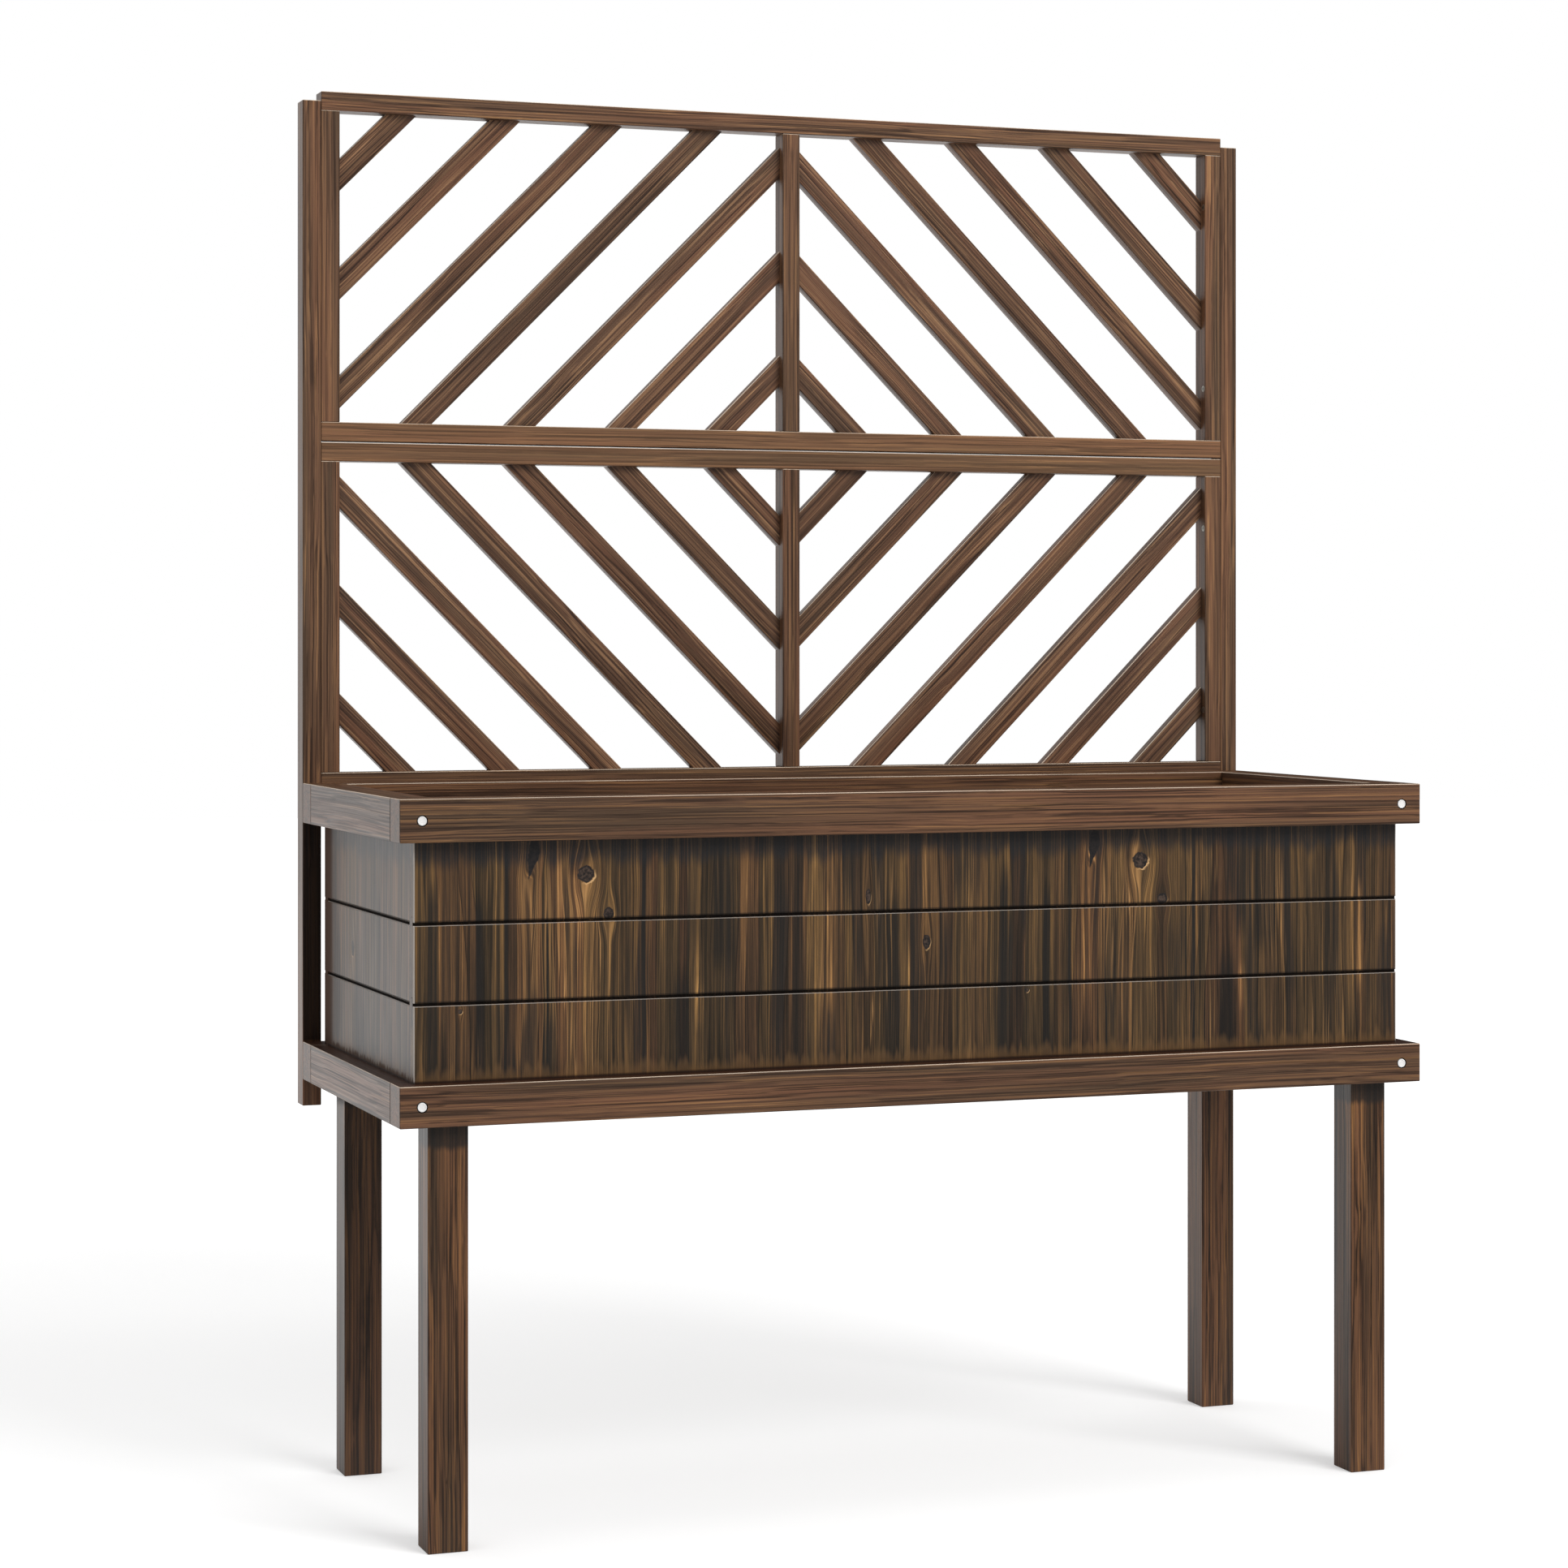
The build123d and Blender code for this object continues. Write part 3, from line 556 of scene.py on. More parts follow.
def char_group():
    """Colour and relief of scorched wood. The vector is along, into and up the wall."""
    tree = bpy.data.node_groups.new("scorched_streaks", "ShaderNodeTree")
    tree.interface.new_socket("Wall", in_out="INPUT", socket_type="NodeSocketVector")
    tree.interface.new_socket("Glow", in_out="INPUT", socket_type="NodeSocketFloat")
    tree.interface.new_socket("Color", in_out="OUTPUT", socket_type="NodeSocketColor")
    tree.interface.new_socket("Relief", in_out="OUTPUT", socket_type="NodeSocketFloat")
    g = Graph(tree)
    entry = g.node("NodeGroupInput")
    wall, glow = entry.outputs["Wall"], entry.outputs["Glow"]
    along, into, up = g.split(wall)

    sway = g.waver(wall, (20.0, 20.0, 5.0))
    quiver = g.waver(wall, (75.0, 75.0, 12.0))
    run = g.sum("MULTIPLY_ADD", sway, 0.006, g.sum("MULTIPLY_ADD", quiver, 0.0018, along))
    wall = g.join(run, into, up)

    # Columns: cells in a row, each with its own tone, hue and heat, and sharp sides.
    crowd = g.sum("MULTIPLY", g.noise(g.join(run, 0.0, up), (11.0, 1.0, 1.3)), 5.0)
    spot = g.sum("MULTIPLY_ADD", run, COLUMNS_PER_METRE, crowd)
    cell = g.node("ShaderNodeTexVoronoi", {"W": spot, "Scale": 1.0}, voronoi_dimensions="1D").outputs
    own_tone, own_hue, own_heat = g.split(cell["Color"])
    across = g.sum("SUBTRACT", spot, cell["W"])
    side = g.node("ShaderNodeTexVoronoi", {"W": spot, "Scale": 1.0}, voronoi_dimensions="1D",
                  feature="DISTANCE_TO_EDGE").outputs["Distance"]

    # Broad tone, columns, then fibres and threads.
    broad = g.streaks(wall, (17.0, 17.0, 3.2), 0.30, 0.70)
    medium = g.streaks(wall, (240.0, 240.0, 2.2), 0.32, 0.68, detail=3.0, roughness=0.66)
    thread = g.streaks(wall, (760.0, 760.0, 6.0), 0.34, 0.66, detail=2.0, roughness=0.60)
    fuzz = g.waver(wall, (1300.0, 1300.0, 60.0))
    tone = g.sum("MULTIPLY", broad, 0.17)
    for part, share in ((own_tone, 0.19), (across, 0.10), (medium, 0.36), (thread, 0.28), (fuzz, 0.16)):
        tone = g.sum("MULTIPLY_ADD", part, share, tone)
    tone = g.sum("MULTIPLY_ADD", g.sum("SUBTRACT", tone, 0.50), 1.20, 0.52)
    tone = g.sum("MULTIPLY_ADD", glow, 0.26, tone)
    tone = g.sum("MULTIPLY_ADD", g.sum("SUBTRACT", up, wall_foot), 0.26, g.sum("SUBTRACT", tone, 0.058))
    hue = g.between(own_hue, 0.3, 1.0, 0.0, 0.62)
    colour = g.mix(hue, g.ramp(tone, CHAR_OLIVE), g.ramp(tone, CHAR_RED))

    # Long black lines between the columns.
    seam = g.between(g.crossing(wall, (170.0, 170.0, 0.9), detail=1.0), 0.003, 0.017, 0.75, 0.0)
    seam = g.sum("MULTIPLY", seam, g.streaks(wall, (60.0, 60.0, 4.0), 0.42, 0.56))
    colour = g.mix(seam, colour, screen(SEAM_BLACK))

    # Amber glints are thin, long and pointed. Some columns have a light or a black side.
    crest = g.crossing(wall, (150.0, 150.0, 1.6))
    patch = g.streaks(wall, (15.0, 15.0, 3.0), 0.49, 0.65)
    glint = g.sum("MULTIPLY", g.between(crest, 0.0, 0.022, 1.0, 0.0), patch)
    glint = g.sum("MULTIPLY", glint, g.between(thread, 0.1, 0.7, 0.25, 0.85))
    light_side = g.between(side, 0.03, 0.11, 1.0, 0.0)
    light_side = g.sum("MULTIPLY", light_side, g.between(own_tone, 0.62, 0.72, 0.0, 0.6))
    glint = g.sum("MAXIMUM", glint, g.sum("MULTIPLY", light_side, patch))
    colour = g.mix(glint, colour, screen(AMBER))
    black_side = g.between(side, 0.02, 0.07, 1.0, 0.0)
    black_side = g.sum("MULTIPLY", black_side, g.between(own_heat, 0.60, 0.70, 0.0, 0.7))
    colour = g.mix(black_side, colour, screen(SIDE_BLACK))

    # Sooty flames: whole columns are caught, each from its own height.
    lick_of_column = g.noise(g.join(cell["W"], own_heat, up), (3.0, 9.0, 4.6), detail=1.0)
    lick = g.noise(wall, (40.0, 40.0, 3.6), detail=2.0)
    lick = g.sum("MULTIPLY_ADD", lick_of_column, 0.62, g.sum("MULTIPLY", lick, 0.38))
    sootier = g.sum("MULTIPLY", g.between(lick, 0.520, 0.600, smooth=True), 0.74)
    spared = g.between(glow, 0.0, 0.5, 1.0, 0.15)
    sootier = g.sum("MULTIPLY", sootier, spared)
    sootier = g.sum("MAXIMUM", sootier, g.between(glow, -0.15, -1.0, 0.0, 0.88))
    fibrous = g.between(g.sum("ADD", thread, medium), 0.7, 1.6, 1.0, 0.58)
    colour = g.mix(g.sum("MULTIPLY", sootier, fibrous), colour, screen(SOOT))

    # Painted shade under the rail, a warm ragged band at the foot.
    ragged = g.waver(wall, (85.0, 85.0, 3.0), detail=3.0)
    ragged = g.sum("MULTIPLY_ADD", g.sum("SUBTRACT", own_heat, 0.5), 0.30, ragged)
    from_head = g.sum("MULTIPLY_ADD", ragged, 0.030, g.sum("SUBTRACT", wall_head, up))
    capped = g.between(from_head, 0.013, 0.030, 0.88, 0.0, smooth=True)
    colour = g.mix(g.sum("MULTIPLY", capped, fibrous), colour, screen(HEAD_SHADE))
    frayed = g.waver(wall, (190.0, 190.0, 3.0), detail=3.0)
    from_foot = g.sum("MULTIPLY_ADD", frayed, 0.040, g.sum("SUBTRACT", up, wall_foot))
    warm = g.between(from_foot, 0.004, 0.016, 0.42, 0.0, smooth=True)
    colour = g.mix(warm, colour, screen(FOOT_WARM))
    relief = g.sum("MULTIPLY_ADD", thread, 0.45, g.sum("MULTIPLY", medium, 0.35))
    relief = g.sum("MULTIPLY_ADD", sootier, -0.25, relief)
    result = g.node("NodeGroupOutput")
    g.feed(result.inputs["Color"], colour)
    g.feed(result.inputs["Relief"], relief)
    return tree


scorched_streaks = char_group()
print("nodes in the scorch:", len(scorched_streaks.nodes))

# %% [markdown]
# ## Four walls and their knots
#
# Each wall reads the streaks in its own frame: along it, into it and up it. A knot
# is a small ellipse, and a few have a tail. Its heart is mottled dark brown, a pale
# crescent shows where the fibres turn round it, and light wood glows below it. The
# inner part of each board was never scorched, so there it is plain stained timber.

# %% Knots
FRONT_KNOTS = [
    # middle along and up the wall, half width and height, length of its tail, light and rim
    {"at": (-0.412, 0.669), "half": (0.0058, 0.0140), "tail": 0.026, "light": 0.45, "rim": 0.0},
    {"at": (-0.360, 0.647), "half": (0.0085, 0.0085), "tail": 0.0, "light": 1.0, "rim": 1.0},
    {"at": (-0.337, 0.608), "half": (0.0055, 0.0060), "tail": 0.0, "light": 0.5, "rim": 0.2},
    {"at": (-0.066, 0.618), "half": (0.0028, 0.0080), "tail": 0.0, "light": 0.2, "rim": 0.5},
    {"at": (-0.003, 0.571), "half": (0.0040, 0.0075), "tail": 0.0, "light": 0.2, "rim": 0.6},
    {"at": (0.183, 0.668), "half": (0.0058, 0.0135), "tail": 0.026, "light": 0.45, "rim": 0.0},
    {"at": (0.234, 0.648), "half": (0.0085, 0.0085), "tail": 0.0, "light": 1.0, "rim": 1.0},
    {"at": (0.259, 0.608), "half": (0.0055, 0.0060), "tail": 0.0, "light": 0.5, "rim": 0.2},
    {"at": (-0.486, 0.5176), "half": (0.0022, 0.0024), "tail": 0.0, "light": 0.2, "rim": 1.4},
    {"at": (0.107, 0.5185), "half": (0.0022, 0.0024), "tail": 0.0, "light": 0.2, "rim": 1.4},
]
BACK_KNOTS = [
    {"at": (-0.290, 0.655), "half": (0.0080, 0.0090), "tail": 0.0, "light": 0.8, "rim": 0.8},
    {"at": (0.085, 0.556), "half": (0.0060, 0.0120), "tail": 0.024, "light": 0.4, "rim": 0.0},
    {"at": (0.330, 0.480), "half": (0.0075, 0.0080), "tail": 0.0, "light": 0.8, "rim": 0.8},
]
SIDE_KNOTS = [{"at": (0.045, 0.560), "half": (0.0060, 0.0080), "tail": 0.0, "light": 0.5, "rim": 0.6}]

# The front boards show the same stretch of the log twice, end to end.
LOG_START, LOG_REPEAT = -0.537, 0.595
WALL_SPAN = (wall_foot - 0.05, wall_head + 0.05)
FRONT_STRIPES = [
    # distance from the start of the log, half width, lowest and highest point, glow or char
    (0.0420, 0.0120, WALL_SPAN, -0.34),
    (0.0235, 0.0050, (0.400, 0.635), -0.8), (0.0705, 0.0040, (0.400, 0.622), -0.8),
    (0.0965, 0.0018, WALL_SPAN, -0.9), (0.1375, 0.0007, (0.400, 0.604), -1.0),
    (0.1510, 0.0055, WALL_SPAN, 0.35), (0.1780, 0.0130, WALL_SPAN, 0.45),
    (0.2360, 0.0022, WALL_SPAN, -1.0), (0.2520, 0.0085, WALL_SPAN, 0.35),
    (0.2750, 0.0095, (0.400, 0.545), -0.6), (0.2930, 0.0055, (0.400, 0.575), 0.55),
    (0.2930, 0.0045, (0.502, 0.530), 0.90), (0.3180, 0.0140, (0.555, 0.750), -0.62),
    (0.3950, 0.0065, WALL_SPAN, -0.55), (0.4140, 0.0090, WALL_SPAN, 0.30),
    (0.4300, 0.0032, (0.515, 0.612), 1.00), (0.4965, 0.0090, (0.400, 0.612), -0.60),
    (0.5125, 0.0055, (0.400, 0.560), 0.50), (0.5340, 0.0050, (0.560, 0.750), 0.55),
]


print("knots:", len(FRONT_KNOTS), "in front and", len(BACK_KNOTS), "at the back")

# %% Streaks that part round the knots, and the log's main stripes
def part_round(g, run, up, knots):
    """Push the streaks aside round the knots. Returns the new run, hearts, their black, rims and glow."""
    pushed, heart, rim, glow = run, 0.0, 0.0, 0.0
    ragged = g.waver(g.join(run, 0.0, up), (230.0, 1.0, 230.0), detail=3.0)
    crack, outline = 0.0, 0.0
    for knot in knots:
        (at_run, at_up), (half_run, half_up), tail = knot["at"], knot["half"], knot["tail"]
        dx = g.sum("SUBTRACT", run, at_run)
        dz = g.sum("SUBTRACT", up, at_up)
        if tail:
            # A teardrop: below its middle it narrows to a point, a little to one side.
            below = g.between(dz, -tail, 0.0, tail, 0.0)
            dx = g.sum("MULTIPLY_ADD", below, 0.22, dx)
            dz = g.sum("MAXIMUM", dz, g.sum("MULTIPLY", dz, half_up / tail))
            squeezed = g.sum("MULTIPLY", dx, g.between(below, 0.3 * tail, tail, 1.0, 3.0))
        else:
            squeezed = dx
        u = g.sum("DIVIDE", squeezed, half_run)
        v = g.sum("DIVIDE", dz, half_up)
        reach = g.vector("LENGTH", g.join(u, v, 0.0))
        reach = g.sum("MULTIPLY_ADD", ragged, 0.3 if tail else 0.6, reach)
        wide = g.sum("DIVIDE", dx, half_run)
        stretched = g.vector("LENGTH", g.join(wide, g.sum("MULTIPLY", v, 0.45), 0.0))
        pull = g.between(stretched, 0.5, 2.6, 0.88, 0.0, smooth=True)
        pushed = g.sum("MULTIPLY_ADD", g.sum("MULTIPLY", dx, pull), -1.0, pushed)
        inside = g.between(reach, 0.90, 1.04, 1.0, 0.0)
        heart = g.sum("MAXIMUM", heart, inside)
        if tail:
            crack = g.sum("MAXIMUM", crack, inside)
        else:
            outline = g.sum("MAXIMUM", outline, g.sum("MULTIPLY", g.between(reach, 0.62, 0.88), inside))
        ring = g.band(reach, (0.98, 1.06), (1.10, 1.26))
        lower_right = g.between(g.sum("SUBTRACT", u, v), 0.5, 1.4, 0.0, knot["rim"])
        rim = g.sum("MAXIMUM", rim, g.sum("MULTIPLY", ring, lower_right))
        under = g.between(v, -9.0, -0.6, 0.0, 1.0)
        under = g.sum("MULTIPLY", under, g.between(v, -0.6, 0.6, 1.0, 0.3))
        beam = g.sum("MULTIPLY", g.between(g.sum("ABSOLUTE", u), 0.9, 2.4, 1.0, 0.0), under)
        glow = g.sum("MAXIMUM", glow, g.sum("MULTIPLY", beam, knot["light"]))
    return pushed, heart, g.sum("MAXIMUM", crack, outline), rim, glow


def striped(g, place, run, up, glow, stripes):
    """Add the main stripes of the log to the glow. Char counts as glow below nothing."""
    waver = g.waver(place, (24.0, 24.0, 7.0), detail=3.0)
    run = g.sum("MULTIPLY_ADD", waver, 0.007, run)
    on_log = g.sum("FLOORED_MODULO", g.sum("SUBTRACT", run, LOG_START), LOG_REPEAT)
    for at, half, (lowest, highest), strength in stripes:
        aside = g.sum("ABSOLUTE", g.sum("SUBTRACT", on_log, at))
        share = g.between(aside, 0.65 * half, 1.15 * half + 0.0003, strength, 0.0)
        if lowest > wall_foot:
            share = g.sum("MULTIPLY", share, g.between(up, lowest - 0.014, lowest + 0.014))
        if highest < wall_head:
            share = g.sum("MULTIPLY", share, g.between(up, highest - 0.016, highest + 0.016, 1.0, 0.0))
        glow = g.sum("ADD", glow, share)
    return g.between(glow, -1.0, 1.0, -1.0, 1.0)


print("main stripes of the log:", len(FRONT_STRIPES))

# %% [markdown]
# ## Edges and matt strips of the walls
#
# The boards' edges are eased, so each joint between them shows as a groove. Its shade is
# painted black, with a painted highlight on the edge that looks up, and the board above it
# begins with a line of painted shade. The upright arrises of the box carry a painted
# highlight too. The sides are a matt brown in a strip along their rear and in one along
# their foot, which is painted shade, and at the foot also a painted reflection of the rail
# below. Each of these is a share from 0 to 1, worked out from the sizes of the boards. A
# glossy face seen at a slant mirrors the room, which hides a darker colour, so the grooves
# and the matt strips are rough as well.

# %% Edges, matt strips and the inner face
# Painted shade in the grooves between the boards.
GROOVE_SHADE = (18, 13, 10)
LIP_HIGHLIGHT = (186, 178, 170)            # painted highlight on an edge that looks up, and on the upright arrises of the box
FOOT_SHADE = (32, 15, 10)         # painted shade along the foot of each wall
# Matt brown of painted shade on the sides, and at their foot a painted reflection of the rail below.
MATT_BROWN_AND_SHADE = (74, 47, 31)
REAR_STRIP = (0.022, 0.058)      # where it begins to fade, and where it ends
FOOT_STRIP = (0.002, 0.011)
EDGE_SHADE_REACH = 0.0018            # how far up a board's foot, just above a groove, the painted shade reaches
INNER_DEPTH = (0.0080, 0.0090)   # into a board, where its scorched part ends
INNER_FACE = [(0.1, (50, 36, 28)), (0.5, (78, 57, 43)), (0.9, (104, 78, 57))]
wall_end = span("wall_board_front_middle")[1].x
wall_front = -span("wall_board_front_middle")[0].y
wall_rear = span("wall_board_back_middle")[1].y
board_feet = [span(f"wall_board_front_{row}")[0].z for row in ("middle", "upper")]
print("middle and upper boards begin at", [round(foot, 4) for foot in board_feet])


def groove_edges(g, z, into, axis):
    """Shares of painted shade, and of painted highlight, on the eased edges of the grooves."""
    not_end = g.between(g.sum("ABSOLUTE", g.facing(axis)), 0.5, 0.8, 1.0, 0.0)
    on_bevel = g.sum("MULTIPLY", g.between(into, 0.00006, 0.00025), not_end)
    # Painted shade on the bevels of a groove that don't look up.
    groove_shade = g.sum("MULTIPLY", on_bevel, g.sum("SUBTRACT", 1.0, lifted(g)))
    near_face = g.between(into, 0.0010, 0.0020, 1.0, 0.0)
    for board_foot in board_feet:
        above = g.sum("SUBTRACT", z, board_foot)
        # Painted shade along the foot of each board above a groove.
        edge = g.between(above, 0.0007, EDGE_SHADE_REACH, 0.75, 0.0)
        edge = g.sum("MULTIPLY", g.between(above, 0.0, 0.0002), edge)
        groove_shade = g.sum("MAXIMUM", groove_shade, g.sum("MULTIPLY", edge, near_face))
    # Painted highlight on the bevel that looks up.
    lip_highlight = g.sum("MULTIPLY", on_bevel, lifted(g))
    lip_highlight = g.sum("MULTIPLY", lip_highlight, g.between(into, 0.0006, 0.0009, 1.0, 0.0))
    return groove_shade, lip_highlight


def box_corner(g, x, y):
    """1 on the upright arrises of the box, where a painted highlight goes, 0 elsewhere."""
    along = g.between(g.sum("ABSOLUTE", x), wall_end - 0.0016, wall_end - 0.0009)
    across = g.between(g.sum("ABSOLUTE", y), wall_front - 0.0016, wall_front - 0.0009)
    return g.sum("MULTIPLY", along, across)


def matt_strips(g, place):
    """Share of matt brown on the sides, along their rear and along their foot: painted shade, and at the foot
    a painted reflection of the rail.
    """
    x, y, z = g.split(place)
    on_side = g.between(g.sum("ABSOLUTE", x), wall_end - 0.0004, wall_end - 0.0001)
    frayed = g.waver(place, (160.0, 160.0, 5.0), detail=3.0)
    from_rear = g.sum("MULTIPLY_ADD", frayed, 0.014, g.sum("SUBTRACT", wall_rear, y))
    from_foot = g.sum("MULTIPLY_ADD", frayed, 0.018, g.sum("SUBTRACT", z, wall_foot))
    matt = g.sum("MAXIMUM", g.between(from_rear, *REAR_STRIP, 0.90, 0.0, smooth=True),
                 g.between(from_foot, *FOOT_STRIP, 0.75, 0.0, smooth=True))
    return g.sum("MULTIPLY", matt, on_side)


def inner_face(g, run, into, z, shift):
    """Plain stained timber, for the part of a board that was never scorched."""
    figure = g.node("ShaderNodeGroup", node_tree=wood_figure)
    g.feed(figure.inputs["Grain"], g.join(g.sum("ADD", run, shift), g.sum("ADD", into, 0.09), z))
    fine = g.sum("MULTIPLY", figure.outputs["Fine"], 0.4)
    return g.ramp(g.sum("MULTIPLY_ADD", figure.outputs["Coarse"], 0.6, fine), INNER_FACE)


# %% Dress the four walls
KNOT_MOTTLE = [(0.38, (34, 29, 27)), (0.60, (78, 63, 54))]
KNOT_BLACK = (31, 30, 32)        # cracks and outlines of the knots
KNOT_RIM = (214, 172, 120)       # the pale crescent


def wall_material(name, axis, outer_face, inwards, knots, shift, stripes):
    """Scorched outside, plain stained timber inside."""
    material, g, shader = new_material(name)
    place = g.place()
    x, y, z = g.split(place)
    run, depth = (x, y) if axis == "x" else (y, x)
    into = g.sum("MULTIPLY", g.sum("SUBTRACT", depth, outer_face), inwards)
    pushed, heart, black, rim, glow = part_round(g, run, z, knots)
    glow = striped(g, place, run, z, glow, stripes)
    streaks = g.node("ShaderNodeGroup", node_tree=scorched_streaks)
    g.feed(streaks.inputs["Wall"], g.join(g.sum("ADD", pushed, shift), into, z))
    g.feed(streaks.inputs["Glow"], glow)
    mottle = g.ramp(g.noise(place, (420.0, 420.0, 420.0), detail=3.0), KNOT_MOTTLE)
    colour = g.mix(heart, streaks.outputs["Color"], mottle)
    groove_shade, lip_highlight = groove_edges(g, z, into, axis)
    # Painted shade in the grooves, and painted highlights on their lips and on the upright arrises of the
    # box.
    marks = ((black, 0.85, KNOT_BLACK), (rim, 0.90, KNOT_RIM), (groove_shade, 0.90, GROOVE_SHADE),
             (lip_highlight, 0.62, LIP_HIGHLIGHT), (box_corner(g, x, y), 0.85, LIP_HIGHLIGHT))
    for share, strength, paint in marks:
        colour = g.mix(g.sum("MULTIPLY", share, strength), colour, screen(paint))
    # Painted shade: a dark line along the foot of each wall, above the ledge.
    foot = g.between(g.sum("SUBTRACT", z, wall_foot), 0.0012, 0.0030, 0.88, 0.0)
    colour = g.mix(foot, colour, screen(FOOT_SHADE))
    colour = g.mix(g.between(into, *INNER_DEPTH), colour, inner_face(g, run, into, z, shift))
    # Painted shade on the sides, along their rear and their foot.
    matt = matt_strips(g, place)
    brown = g.sum("MULTIPLY", matt, g.sum("SUBTRACT", 1.0, foot))
    g.feed(shader.inputs["Base Color"], g.mix(brown, colour, screen(MATT_BROWN_AND_SHADE)))
    relief = g.sum("MULTIPLY_ADD", heart, -0.6, streaks.outputs["Relief"])
    gloss = g.between(relief, 0.0, 0.8, 0.40, 0.31)
    dull = g.sum("MAXIMUM", groove_shade, g.sum("MULTIPLY", matt, 0.9))
    g.feed(shader.inputs["Roughness"], g.sum("MAXIMUM", gloss, dull))
    g.feed(shader.inputs["IOR"], OIL_IOR)
    g.feed(shader.inputs["Normal"], g.bump(relief, 0.28, 0.0006))
    return material


def outer_of(wall, axis, inwards):
    """Where the outer face of a wall lies along its depth."""
    low, high, _ = span(f"wall_board_{wall}_middle")
    index = 1 if axis == "x" else 0
    return low[index] if inwards > 0 else high[index]


WALLS = {
    # wall: run, direction into the box, knots, and which stretch of the pattern it shows
    "front": ("x", 1, FRONT_KNOTS, 0.0),
    "back": ("x", -1, BACK_KNOTS, 7.3),
    "left": ("y", 1, SIDE_KNOTS, 3.1),
    "right": ("y", -1, SIDE_KNOTS, 5.6),
}
for wall, (axis, inwards, knots, shift) in WALLS.items():
    face = outer_of(wall, axis, inwards)
    stripes = FRONT_STRIPES if wall == "front" else []
    finish = wall_material(f"scorched_{wall}_wall", axis, face, inwards, knots, shift, stripes)
    for row in ("lower", "middle", "upper"):
        finish_node(f"wall_board_{wall}_{row}", finish)
    print(wall, "wall: outer face at", round(face, 4), "with", len(knots), "knots")

# %% [markdown]
# ## Slats, by Geometry Nodes
#
# The slats are one stick, repeated at an even pitch and sawn off flush with the
# frame round them. That is a rule, so Geometry Nodes make them: a line of points along
# the centre stile, a long eased stick on each point, and a cut with the block of air
# inside the frame. Each slat also gets two attributes: where a point lies on its own
# stick, and which log the stick came from. The stain reads those, so the grain runs
# along every slat and no two match.

# %% Tree that fills a bay with slats
def add_inputs(tree, inputs):
    """Named inputs for a geometry tree, after the geometry that it starts from."""
    tree.interface.new_socket("Geometry", in_out="INPUT", socket_type="NodeSocketGeometry")
    tree.interface.new_socket("Geometry", in_out="OUTPUT", socket_type="NodeSocketGeometry")
    for name, kind in inputs.items():
        tree.interface.new_socket(name, in_out="INPUT", socket_type=f"NodeSocket{kind}")


